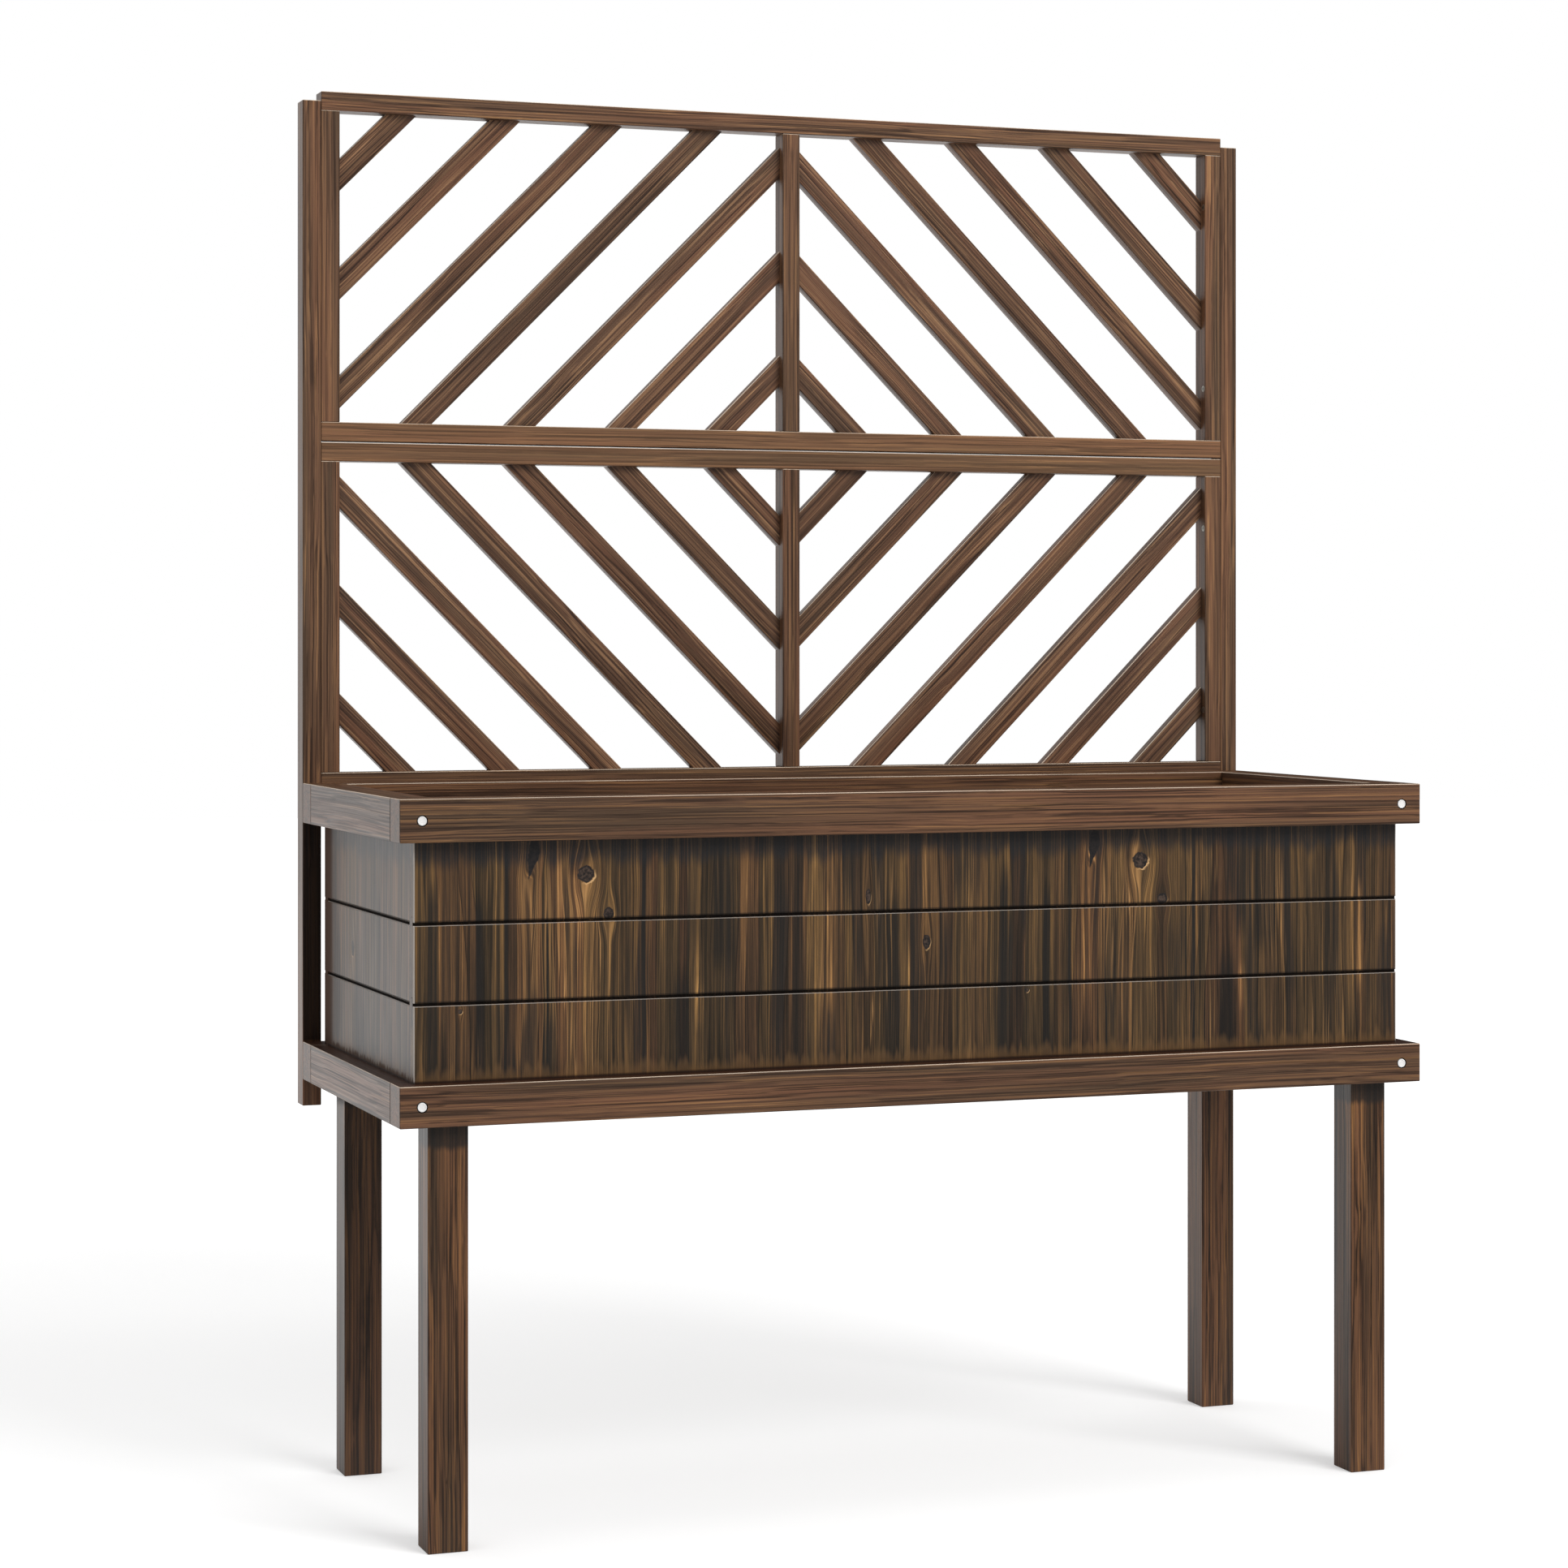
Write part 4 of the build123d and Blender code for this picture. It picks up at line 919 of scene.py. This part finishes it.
def slat_tree():
    """A bay of slanting slats, each an eased stick sawn off at the frame."""
    tree = bpy.data.node_groups.new("slanting_slats", "GeometryNodeTree")
    add_inputs(tree, {"Slat Width": "Float", "Slat Thickness": "Float", "Arris": "Float",
                      "Stick Reach": "Float", "Slats": "Int", "First Slat": "Vector", "Pitch": "Float",
                      "Lean": "Float", "Bay Middle": "Vector", "Bay Size": "Vector", "Seed": "Int",
                      "Finish": "Material"})
    g = Graph(tree)
    given = g.node("NodeGroupInput").outputs

    # One eased stick, along X.
    section = g.node("GeometryNodeCurvePrimitiveQuadrilateral",
                     {"Width": given["Slat Thickness"], "Height": given["Slat Width"]})
    eased = g.node("GeometryNodeFilletCurve", {"Curve": section.outputs[0]}, mode="POLY")
    g.feed(eased.inputs["Radius"], given["Arris"])
    g.feed(eased.inputs["Count"], 3)
    reach = given["Stick Reach"]
    line = g.node("GeometryNodeCurvePrimitiveLine",
                  {"Start": g.join(g.sum("MULTIPLY", reach, -1.0), 0.0, 0.0), "End": g.join(reach, 0.0, 0.0)})
    stick = g.node("GeometryNodeCurveToMesh",
                   {"Curve": line.outputs[0], "Profile Curve": eased.outputs[0], "Fill Caps": True})

    # A stick on every point along the stile, then the cut with the bay.
    points = g.node("GeometryNodeMeshLine", {"Count": given["Slats"], "Start Location": given["First Slat"],
                                             "Offset": g.join(0.0, 0.0, given["Pitch"])})
    turn = g.node("FunctionNodeEulerToRotation", {"Euler": g.join(0.0, given["Lean"], 0.0)})
    sticks = g.node("GeometryNodeInstanceOnPoints",
                    {"Points": points.outputs[0], "Instance": stick.outputs[0], "Rotation": turn.outputs[0]})
    solid = g.node("GeometryNodeRealizeInstances", {"Geometry": sticks.outputs[0]})
    air = g.node("GeometryNodeMeshCube", {"Size": given["Bay Size"]})
    air = g.node("GeometryNodeTransform", {"Geometry": air.outputs[0], "Translation": given["Bay Middle"]})
    sawn = g.node("GeometryNodeMeshBoolean", operation="INTERSECT", solver="EXACT")
    g.feed(sawn.inputs["Mesh 2"], solid.outputs[0])
    g.feed(sawn.inputs["Mesh 2"], air.outputs[0])

    # Where each point lies on its own stick, and the log that the stick came from.
    from_first = g.vector("SUBTRACT", g.node("GeometryNodeInputPosition").outputs[0], given["First Slat"])
    back_turn = g.node("FunctionNodeEulerToRotation",
                       {"Euler": g.join(0.0, g.sum("MULTIPLY", given["Lean"], -1.0), 0.0)})
    lying = g.node("FunctionNodeRotateVector", {"Vector": from_first, "Rotation": back_turn.outputs[0]})
    along, deep, over = g.split(lying.outputs[0])
    step = g.sum("MULTIPLY", given["Pitch"], g.sum("COSINE", given["Lean"]))
    number = g.sum("ROUND", g.sum("DIVIDE", over, step))
    own = g.join(along, deep, g.sum("SUBTRACT", over, g.sum("MULTIPLY", number, step)))
    log = g.node("FunctionNodeRandomValue", data_type="FLOAT_VECTOR")
    for name, value in {"Min": (-LOG_REACH, 0.03, 0.03), "Max": (LOG_REACH, 0.12, 0.12), "ID": number,
                        "Seed": given["Seed"]}.items():
        g.feed(log.inputs[name], value)
    marked = sawn.outputs["Mesh"]
    for name, value in (("slat_place", own), ("slat_log", log.outputs[0])):
        keep = g.node("GeometryNodeStoreNamedAttribute", data_type="FLOAT_VECTOR", domain="POINT")
        for socket, term in {"Geometry": marked, "Name": name, "Value": value}.items():
            g.feed(keep.inputs[socket], term)
        marked = keep.outputs[0]
    real = g.node("GeometryNodeRealizeInstances", {"Geometry": marked})
    done = g.node("GeometryNodeSetMaterial", {"Geometry": real.outputs[0], "Material": given["Finish"]})
    g.feed(g.node("NodeGroupOutput").inputs[0], done.outputs[0])
    return tree


slanting_slats = slat_tree()
print("nodes in the slat tree:", len(slanting_slats.nodes))

# %% Run a tree and keep the result as a plain mesh
def grown_mesh(name, tree, values, seed_mesh=None):
    """Evaluate a geometry tree on an object and keep only the finished mesh."""
    holder = bpy.data.objects.new(name, seed_mesh or bpy.data.meshes.new(name))
    bpy.context.scene.collection.objects.link(holder)
    maker = holder.modifiers.new("maker", "NODES")
    maker.node_group = tree
    sockets = {item.name: item for item in tree.interface.items_tree if item.in_out == "INPUT"}
    for label, value in values.items():
        maker[sockets[label].identifier] = value
    evaluated = holder.evaluated_get(bpy.context.evaluated_depsgraph_get())
    mesh = bpy.data.meshes.new_from_object(evaluated)
    holder.modifiers.remove(maker)
    holder.data = mesh
    mesh.name = name

    # The finish is the only material that the piece keeps.
    mesh.materials.clear()
    mesh.materials.append(values["Finish"])
    mesh.polygons.foreach_set("material_index", [0] * len(mesh.polygons))
    return holder


def soften(mesh, sharpest):
    """Shade the faces smooth, but keep each edge of more than this many degrees sharp."""
    mesh.shade_smooth()
    mesh.set_sharp_from_angle(angle=math.radians(sharpest))


def enclosed(mesh):
    """Volume inside a closed mesh. It is below nothing where the faces point inwards."""
    mesh.calc_loop_triangles()
    total = 0.0
    for triangle in mesh.loop_triangles:
        a, b, c = (mesh.vertices[index].co for index in triangle.vertices)
        total += a.dot(b.cross(c)) / 6
    return total


def stand_for(piece, slot, *replaced):
    """Let a finished piece stand for joinery, on the same body and with the finish it has. The slot is not
    used.
    """
    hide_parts(*replaced)
    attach(piece, "root")
    volume = enclosed(piece.data) * 1e6
    print(piece.name, "stands for", ", ".join(replaced), "-", len(piece.data.loop_triangles),
          "triangles round", round(volume, 1), "cubic centimetres")


# %% Fill the four bays
SLAT_WIDTH, SLAT_THICKNESS, SLAT_ARRIS = 0.024, 0.014, 0.0010
SLAT_ANGLE = math.radians(45.0)
SLAT_PITCH = 0.1155              # between slats, along the centre stile
FIRST_SLAT = 0.068               # from the panel's rail to the first centre line
SLAT_COUNT = 7
SLAT_SHARP = 35.0                # degrees above which an edge stays sharp
STICK_REACH = 1.8                # half of a stick before it is sawn off, in widths of its bay
ENDLESS = 9.0                    # metres: a slat's own ends are never near enough to count


def slat_material():
    """The slats' own stain, read from where a point lies on its slat."""
    material, g, shader = new_material("stained_slats")
    place = g.node("ShaderNodeAttribute", attribute_name="slat_place").outputs["Vector"]
    log = g.node("ShaderNodeAttribute", attribute_name="slat_log").outputs["Vector"]
    arris = from_arris(g, place, (-ENDLESS, -SLAT_THICKNESS / 2, -SLAT_WIDTH / 2),
                       (ENDLESS, SLAT_THICKNESS / 2, SLAT_WIDTH / 2))
    stain_timber(g, shader, "slat", g.vector("ADD", place, log), arris, cathedral=0.55)
    return material


stained_slats = slat_material()
trellis_back = span("trellis_post_left")[1].y
for panel, rising in (("upper", 1), ("lower", -1)):
    foot = span(f"{panel}_rail_bottom")[1].z
    head = span(f"{panel}_rail_top")[0].z
    for seed, (half, side) in enumerate((("left", -1), ("right", 1))):
        stile = side * span(f"{panel}_stile_centre")[1].x
        outer = span(f"{panel}_stile_{half}")[0 if side > 0 else 1].x
        slat_middle = trellis_back - SLAT_THICKNESS / 2
        start = foot + FIRST_SLAT if rising > 0 else head - FIRST_SLAT
        values = {
            "Slat Width": SLAT_WIDTH, "Slat Thickness": SLAT_THICKNESS, "Arris": SLAT_ARRIS,
            "Stick Reach": STICK_REACH * abs(outer - stile), "Slats": SLAT_COUNT,
            "First Slat": (stile, slat_middle, start), "Pitch": rising * SLAT_PITCH,
            "Lean": side * rising * SLAT_ANGLE,
            "Bay Middle": ((stile + outer) / 2, slat_middle, (foot + head) / 2),
            "Bay Size": (abs(outer - stile), 4 * SLAT_THICKNESS, head - foot),
            "Seed": 10 * rising + seed, "Finish": stained_slats,
        }
        slats = grown_mesh(f"{panel}_{half}_slats", slanting_slats, values)
        soften(slats.data, SLAT_SHARP)
        stand_for(slats, "frame_wood", f"{panel}_slats_{half}")

# %% [markdown]
# ## Bolts and screws, by Geometry Nodes
#
# Every bolt and screw is turned on a lathe, so each is half a section spun round its
# axis. A tree does the turning: it bends a grid into rings, one ring for each corner
# of the section, and the cross recess of a screw is cut out of its head. The same
# tree then sets one copy wherever the joinery has a fastener. The places are read
# from the solids that it replaces: the wide end of each is its head. A grid bent into
# rings this way comes out with its faces inwards, so the tree flips them.

# %% Tree that turns a section and sets it in every hole
WELD = 0.000002                  # points nearer than this become one


def turned_tree():
    """A section spun round its axis, with a cross recess if it has one, at every place."""
    tree = bpy.data.node_groups.new("turned_fasteners", "GeometryNodeTree")
    add_inputs(tree, {"Segments": "Int", "Recess Length": "Float", "Recess Width": "Float",
                      "Recess Depth": "Float", "Has Recess": "Bool", "Places": "Object",
                      "Finish": "Material"})
    g = Graph(tree)
    given = g.node("NodeGroupInput").outputs
    section = given["Geometry"]
    corners = g.node("GeometryNodeAttributeDomainSize", {"Geometry": section}).outputs["Point Count"]
    columns = g.sum("ADD", given["Segments"], 1.0)
    grid = g.node("GeometryNodeMeshGrid", {"Vertices X": columns, "Vertices Y": corners})
    index = g.node("GeometryNodeInputIndex").outputs[0]
    corner = g.sum("FLOORED_MODULO", index, corners)
    column = g.sum("FLOOR", g.sum("DIVIDE", g.sum("ADD", index, 0.5), corners))
    sampled = g.node("GeometryNodeSampleIndex", data_type="FLOAT_VECTOR", domain="POINT")
    for name, value in {"Geometry": section, "Index": corner,
                        "Value": g.node("GeometryNodeInputPosition").outputs[0]}.items():
        g.feed(sampled.inputs[name], value)
    radius, _, height = g.split(sampled.outputs[0])
    angle = g.sum("MULTIPLY", g.sum("DIVIDE", column, given["Segments"]), 2.0 * math.pi)
    ring = g.join(g.sum("MULTIPLY", radius, g.sum("COSINE", angle)),
                  g.sum("MULTIPLY", radius, g.sum("SINE", angle)), height)
    spun = g.node("GeometryNodeSetPosition", {"Geometry": grid.outputs[0], "Position": ring})
    spun = g.node("GeometryNodeMergeByDistance", {"Geometry": spun.outputs[0], "Distance": WELD})
    spun = g.node("GeometryNodeFlipFaces", {"Mesh": spun.outputs[0]})

    # The cross recess: two crossed bars taken out of the head.
    depth = g.sum("MULTIPLY", given["Recess Depth"], 2.0)
    cut = g.node("GeometryNodeMeshBoolean", {"Mesh 1": spun.outputs[0]},
                 operation="DIFFERENCE", solver="EXACT")
    for across, along in (("Recess Length", "Recess Width"), ("Recess Width", "Recess Length")):
        bar = g.node("GeometryNodeMeshCube", {"Size": g.join(given[across], given[along], depth)})
        g.feed(cut.inputs["Mesh 2"], bar.outputs[0])
    form = g.node("GeometryNodeSwitch", {"Switch": given["Has Recess"], "False": spun.outputs[0],
                                         "True": cut.outputs["Mesh"]}, input_type="GEOMETRY")

    places = g.node("GeometryNodeObjectInfo", {"Object": given["Places"]})
    outwards = g.node("GeometryNodeInputNamedAttribute", {"Name": "outwards"}, data_type="FLOAT_VECTOR")
    facing = g.node("FunctionNodeAlignRotationToVector", {"Vector": outwards.outputs[0]}, axis="Z")
    copies = g.node("GeometryNodeInstanceOnPoints",
                    {"Points": places.outputs["Geometry"], "Instance": form.outputs[0],
                     "Rotation": facing.outputs[0]})
    real = g.node("GeometryNodeRealizeInstances", {"Geometry": copies.outputs[0]})
    done = g.node("GeometryNodeSetMaterial", {"Geometry": real.outputs[0], "Material": given["Finish"]})
    g.feed(g.node("NodeGroupOutput").inputs[0], done.outputs[0])
    return tree


turned_fasteners = turned_tree()
print("nodes in the turning tree:", len(turned_fasteners.nodes))

# %% Where the joinery has its fasteners
def fastener_places(node):
    """Middle of the head, outward direction and length of every fastener in a piece."""
    mesh = nodes[node].data
    joined = {}
    parent = list(range(len(mesh.vertices)))

    def root(index):
        while parent[index] != index:
            parent[index] = parent[parent[index]]
            index = parent[index]
        return index

    for vertex in mesh.vertices:
        spot = tuple(round(value, 5) for value in vertex.co)
        parent[root(vertex.index)] = root(joined.setdefault(spot, vertex.index))
    for edge in mesh.edges:
        first, second = edge.vertices
        parent[root(first)] = root(second)
    solids = {}
    for vertex in mesh.vertices:
        solids.setdefault(root(vertex.index), []).append(vertex.co.copy())
    places = []
    for points in solids.values():
        low = Vector([min(p[i] for p in points) for i in range(3)])
        high = Vector([max(p[i] for p in points) for i in range(3)])
        size = high - low
        axis = max(range(3), key=lambda i: size[i])
        middle = (low + high) / 2
        third = size[axis] / 3
        reach = []
        for near in (low[axis], high[axis]):
            close = [p for p in points if abs(p[axis] - near) < third]
            reach.append(max((p - middle).cross(Vector([i == axis for i in range(3)])).length for p in close))
        sign = 1.0 if reach[1] > reach[0] else -1.0
        outwards = Vector([sign if i == axis else 0.0 for i in range(3)])
        head = middle + outwards * size[axis] / 2
        places.append((head, outwards, size[axis]))
    return sorted(places, key=lambda place: tuple(place[0]))


def place_points(name, places):
    """The places as loose points that carry their outward direction."""
    mesh = bpy.data.meshes.new(name)
    mesh.from_pydata([head for head, _, _ in places], [], [])
    directions = mesh.attributes.new("outwards", "FLOAT_VECTOR", "POINT")
    for index, (_, outwards, _) in enumerate(places):
        directions.data[index].vector = outwards
    holder = bpy.data.objects.new(name, mesh)
    bpy.context.scene.collection.objects.link(holder)
    return holder


def section_mesh(name, corners):
    """Half a section as a line of points: distance from the axis, and height."""
    mesh = bpy.data.meshes.new(name)
    points = [(radius, 0.0, height) for radius, height in corners]
    mesh.from_pydata(points, [(i, i + 1) for i in range(len(points) - 1)], [])
    return mesh


# %% [markdown]
# ## Bright bolts and zinc screws
#
# The bolts carry a bright zinc coat, almost white, dulled a little by handling. The
# screws inside are plain zinc, a bare metal whose colour is all in its reflection. The
# coat on the bolts is mostly pigment, so only a fifth of it counts as metal. The marks
# of handling are in the colour, the roughness and the relief. A bolt's head is slightly
# dished, with a rolled rim that catches the light.

# %% Metal finishes
def plated(name, colour, pale, roughness, metallic, marks_per_metre):
    """A metal coat with soft marks of handling."""
    material, g, shader = new_material(name)
    marks = g.noise(g.place(), (marks_per_metre,) * 3, detail=4.0, roughness=0.6)
    g.feed(shader.inputs["Base Color"], g.ramp(marks, [(0.35, colour), (0.65, pale)]))
    g.feed(shader.inputs["Roughness"], g.between(marks, 0.3, 0.7, roughness - 0.06, roughness + 0.08))
    g.feed(shader.inputs["Metallic"], metallic)
    g.feed(shader.inputs["Normal"], g.bump(marks, 0.15, 0.0002))
    return material


bright_zinc = plated("bright_zinc", (240, 238, 236), (252, 251, 250), 0.42, 0.20, 900.0)
plain_zinc = plated("plain_zinc", (168, 166, 158), (196, 194, 186), 0.40, 1.0, 700.0)

# %% Sections of the fasteners
DISH_RADIUS, DISH_DEEP = 0.0034, 0.00045
RIM_STEPS = 6
BOLT_HEAD_DEEP = 0.0030
BOLT_SHANK_RADIUS, BOLT_CHAMFER = 0.0030, 0.0005
SCREW_EASE = 0.0002              # of the rim of a screw's head
SAMPLE_LENGTH = 0.05             # of a bolt, only to count its corners


def bolt_section(length):
    """A head with a dished middle and a rolled rim, on a plain shank."""
    corners = [(0.0, -DISH_DEEP), (0.6 * DISH_RADIUS, -DISH_DEEP),
               (0.9 * DISH_RADIUS, -0.8 * DISH_DEEP), (DISH_RADIUS, -0.3 * DISH_DEEP)]
    rim_middle = (DISH_RADIUS + BOLT_HEAD_RADIUS) / 2
    rim_half = (BOLT_HEAD_RADIUS - DISH_RADIUS) / 2
    for step in range(RIM_STEPS + 1):
        angle = math.pi * (0.75 - 0.75 * step / RIM_STEPS)
        corners.append((rim_middle + rim_half * math.cos(angle), -rim_half + rim_half * math.sin(angle)))
    corners += [(BOLT_HEAD_RADIUS, -BOLT_HEAD_DEEP), (BOLT_SHANK_RADIUS, -BOLT_HEAD_DEEP),
                (BOLT_SHANK_RADIUS, -length + BOLT_CHAMFER), (BOLT_SHANK_RADIUS - BOLT_CHAMFER, -length),
                (0.0, -length)]
    return corners


def screw_section(length, shank, head):
    """A countersunk head and a pointed shank, without a thread."""
    rim = head / 2
    cone = (head - shank) / 2
    return [(0.0, 0.0), (rim - SCREW_EASE, 0.0), (rim, -SCREW_EASE), (shank / 2, -cone),
            (shank / 2, shank - length), (0.0, -length)]


print("corners of a bolt's section:", len(bolt_section(SAMPLE_LENGTH)))

# %% Turn the fasteners
FASTENERS = {
    # piece: finish, slot, shank and head widths of a screw, or None for a bolt
    "rail_bolts": (bright_zinc, "bright_steel", None),
    "post_bolts": (bright_zinc, "bright_steel", None),
    "leg_screws": (plain_zinc, "zinc_steel", (0.0060, 0.0110)),
    "wall_screws": (plain_zinc, "zinc_steel", (0.0040, 0.0075)),
    "base_screws": (plain_zinc, "zinc_steel", (0.0040, 0.0075)),
    "panel_screws": (plain_zinc, "zinc_steel", (0.0040, 0.0075)),
}
RECESS_WIDTH, RECESS_DEPTH = 0.0008, 0.0012
RECESS_SHARE = 0.6               # length of a cross recess, in widths of its head
NO_RECESS = 0.001                # any size will do where no recess is cut
BOLT_SEGMENTS, SCREW_SEGMENTS = 40, 24
FASTENER_SHARP = 32.0            # degrees above which an edge stays sharp

for node, (finish, slot, widths) in FASTENERS.items():
    places = fastener_places(node)
    length = places[0][2]
    corners = screw_section(length, *widths) if widths else bolt_section(length)
    marks = place_points(f"{node}_places", places)
    values = {"Segments": SCREW_SEGMENTS if widths else BOLT_SEGMENTS, "Has Recess": widths is not None,
              "Recess Length": RECESS_SHARE * widths[1] if widths else NO_RECESS,
              "Recess Width": RECESS_WIDTH, "Recess Depth": RECESS_DEPTH,
              "Places": marks, "Finish": finish}
    turned = grown_mesh(f"turned_{node}", turned_fasteners, values, section_mesh(node, corners))
    soften(turned.data, FASTENER_SHARP)
    bpy.data.objects.remove(marks)
    print(node, "has", len(places), "of length", round(length, 4))
    stand_for(turned, slot, node)
finish_node("barrel_nuts", plain_zinc)

# %% [markdown]
# ## Floor, light and camera
#
# A plain pale studio. The backdrop is white, and the floor is pale and keeps the
# planter's soft shadow. A broad lamp stands high in front, to the right, and a weaker
# one hangs above. The room gives an even light from all round, so that a colour
# renders about as it is written. In the mirror of the lacquer the room is white behind
# the planter and dimmer in front of it and on its right, which gives left edges a
# light rim and right edges a dark one.

# %% Floor
FLOOR_HALF = 14.0
NEAR_GLOW, FAR_GLOW = 0.38, 0.75  # keeps the far floor white, and the shadow near the feet
GLOW_REACH = (1.3, 4.5)          # metres from the middle, where it begins and ends to grow
FLOOR_PALE = (0.84, 0.84, 0.84, 1.0)
FLOOR_MIRRORED = (0.16, 0.16, 0.16, 1.0)  # the floor in front, in the mirror of the lacquer
REAR_STARTS = (-0.6, 0.6)        # metres along Y, where the floor in front ends


def pale_floor():
    """A wide sheet under the feet, matt, with a glow that only the camera and gloss see."""
    mesh = bpy.data.meshes.new("studio_floor")
    corners = [(-FLOOR_HALF, -FLOOR_HALF), (FLOOR_HALF, -FLOOR_HALF),
               (FLOOR_HALF, FLOOR_HALF), (-FLOOR_HALF, FLOOR_HALF)]
    mesh.from_pydata([(x, y, floor_level) for x, y in corners], [], [(0, 1, 2, 3)])
    floor = bpy.data.objects.new("studio_floor", mesh)
    bpy.context.scene.collection.objects.link(floor)
    material, g, shader = new_material("studio_floor")
    material.node_tree.nodes.remove(shader)
    paths = g.node("ShaderNodeLightPath").outputs
    place = g.place()
    behind = g.between(g.split(place)[1], *REAR_STARTS)
    in_front = g.sum("MULTIPLY", paths["Is Glossy Ray"], g.sum("SUBTRACT", 1.0, behind))
    pale = g.mix(in_front, FLOOR_PALE, FLOOR_MIRRORED)
    matte = g.node("ShaderNodeBsdfDiffuse", {"Color": pale})
    seen = g.sum("MAXIMUM", paths["Is Camera Ray"], g.sum("MULTIPLY", paths["Is Glossy Ray"], behind))
    away = g.between(g.vector("LENGTH", place), *GLOW_REACH, NEAR_GLOW, FAR_GLOW, smooth=True)
    glow = g.node("ShaderNodeEmission", {"Strength": g.sum("MULTIPLY", seen, away)})
    both = g.node("ShaderNodeAddShader")
    g.feed(both.inputs[0], matte.outputs[0])
    g.feed(both.inputs[1], glow.outputs[0])
    g.feed(material.node_tree.nodes["Material Output"].inputs["Surface"], both.outputs[0])
    mesh.materials.append(material)


pale_floor()
print("floor at", round(floor_level, 4))

# %% World and lamps
ROOM_LIGHT = 0.52                # the even light on matt surfaces
ROOM_MIRRORED = 0.34             # the room in front, in the mirror of the lacquer
ROOM_RIGHT = 0.10                # and on the right
WHITE = (1.0, 1.0, 1.0, 1.0)


def studio_world():
    """White to the camera, even on matt surfaces, and with light and dark sides to gloss."""
    world = bpy.data.worlds.new("studio")
    bpy.context.scene.world = world
    world.use_nodes = True
    g = Graph(world.node_tree)
    paths = g.node("ShaderNodeLightPath").outputs
    x, y, _ = g.split(g.node("ShaderNodeTexCoord").outputs["Generated"])
    behind = g.sum("MULTIPLY", g.between(y, -0.15, 0.35, smooth=True), g.between(y, 0.80, 0.97, 0.45, 0.95))
    left = g.between(x, 0.02, 0.24, 1.0, 0.0, smooth=True)
    room = g.between(x, 0.45, 0.95, ROOM_MIRRORED, ROOM_RIGHT, smooth=True)
    behind_right = g.sum("MULTIPLY", y, g.between(x, 0.0, 0.2))
    room = g.sum("MULTIPLY", room, g.between(behind_right, 0.3, 0.8, 1.0, 0.12))
    mirrored = g.sum("MAXIMUM", room, g.sum("MULTIPLY", behind, left))
    mirrored = g.sum("MULTIPLY", mirrored, paths["Is Glossy Ray"])
    even = g.sum("MULTIPLY", g.sum("SUBTRACT", 1.0, paths["Is Glossy Ray"]), ROOM_LIGHT)
    seen = g.sum("MAXIMUM", paths["Is Camera Ray"], paths["Is Transmission Ray"])
    strength = g.sum("MAXIMUM", seen, g.sum("ADD", mirrored, even))
    backdrop = world.node_tree.nodes["Background"]
    g.feed(backdrop.inputs["Color"], WHITE)
    g.feed(backdrop.inputs["Strength"], strength)


def softbox(name, place, target, size, power):
    """A rectangular lamp that points at its target."""
    lamp = bpy.data.lights.new(name, "AREA")
    lamp.shape = "RECTANGLE"
    lamp.size, lamp.size_y = size
    lamp.energy = power
    holder = bpy.data.objects.new(name, lamp)
    holder.location = place
    holder.rotation_euler = (Vector(target) - Vector(place)).to_track_quat("-Z", "Y").to_euler()
    holder.visible_glossy = False    # the lacquer mirrors the room, not the lamps
    bpy.context.scene.collection.objects.link(holder)


LAMPS = {
    # name: place, width and height, power in watts
    "key": ((2.5, -5.0, 4.2), (3.4, 3.0), 262.0),
    "top": ((-0.6, 0.2, 4.8), (3.0, 2.0), 40.0),
}
middle_height = (floor_level + cad_box[1][2]) / 2
aim = (0.0, 0.0, middle_height)
studio_world()
for name, (place, size, power) in LAMPS.items():
    softbox(name, place, aim, size, power)
print("lamps:", ", ".join(LAMPS))

# %% Camera
IMAGE_SIDE = 1932                # pixels, square
FOCAL_PIXELS = 4465.9
HORIZON_ROW = 790.0
CAMERA_YAW = 0.35077             # radians, turned to the right of +Y
SENSOR = 36.0
CAMERA_PLACE = (-1.3880, -3.5720, 0.8728)

camera = bpy.data.objects.new("camera", bpy.data.cameras.new("camera"))
camera.data.sensor_width = SENSOR
camera.data.sensor_fit = "HORIZONTAL"
camera.data.lens = SENSOR * FOCAL_PIXELS / IMAGE_SIDE
camera.data.shift_y = -(IMAGE_SIDE / 2 - HORIZON_ROW) / IMAGE_SIDE
camera.data.clip_end = 60.0
camera.location = CAMERA_PLACE
camera.rotation_euler = (math.pi / 2, 0.0, -CAMERA_YAW)
bpy.context.scene.collection.objects.link(camera)
bpy.context.scene.camera = camera
bpy.context.scene.view_settings.view_transform = "Standard"
print("lens:", round(camera.data.lens, 2), "mm")
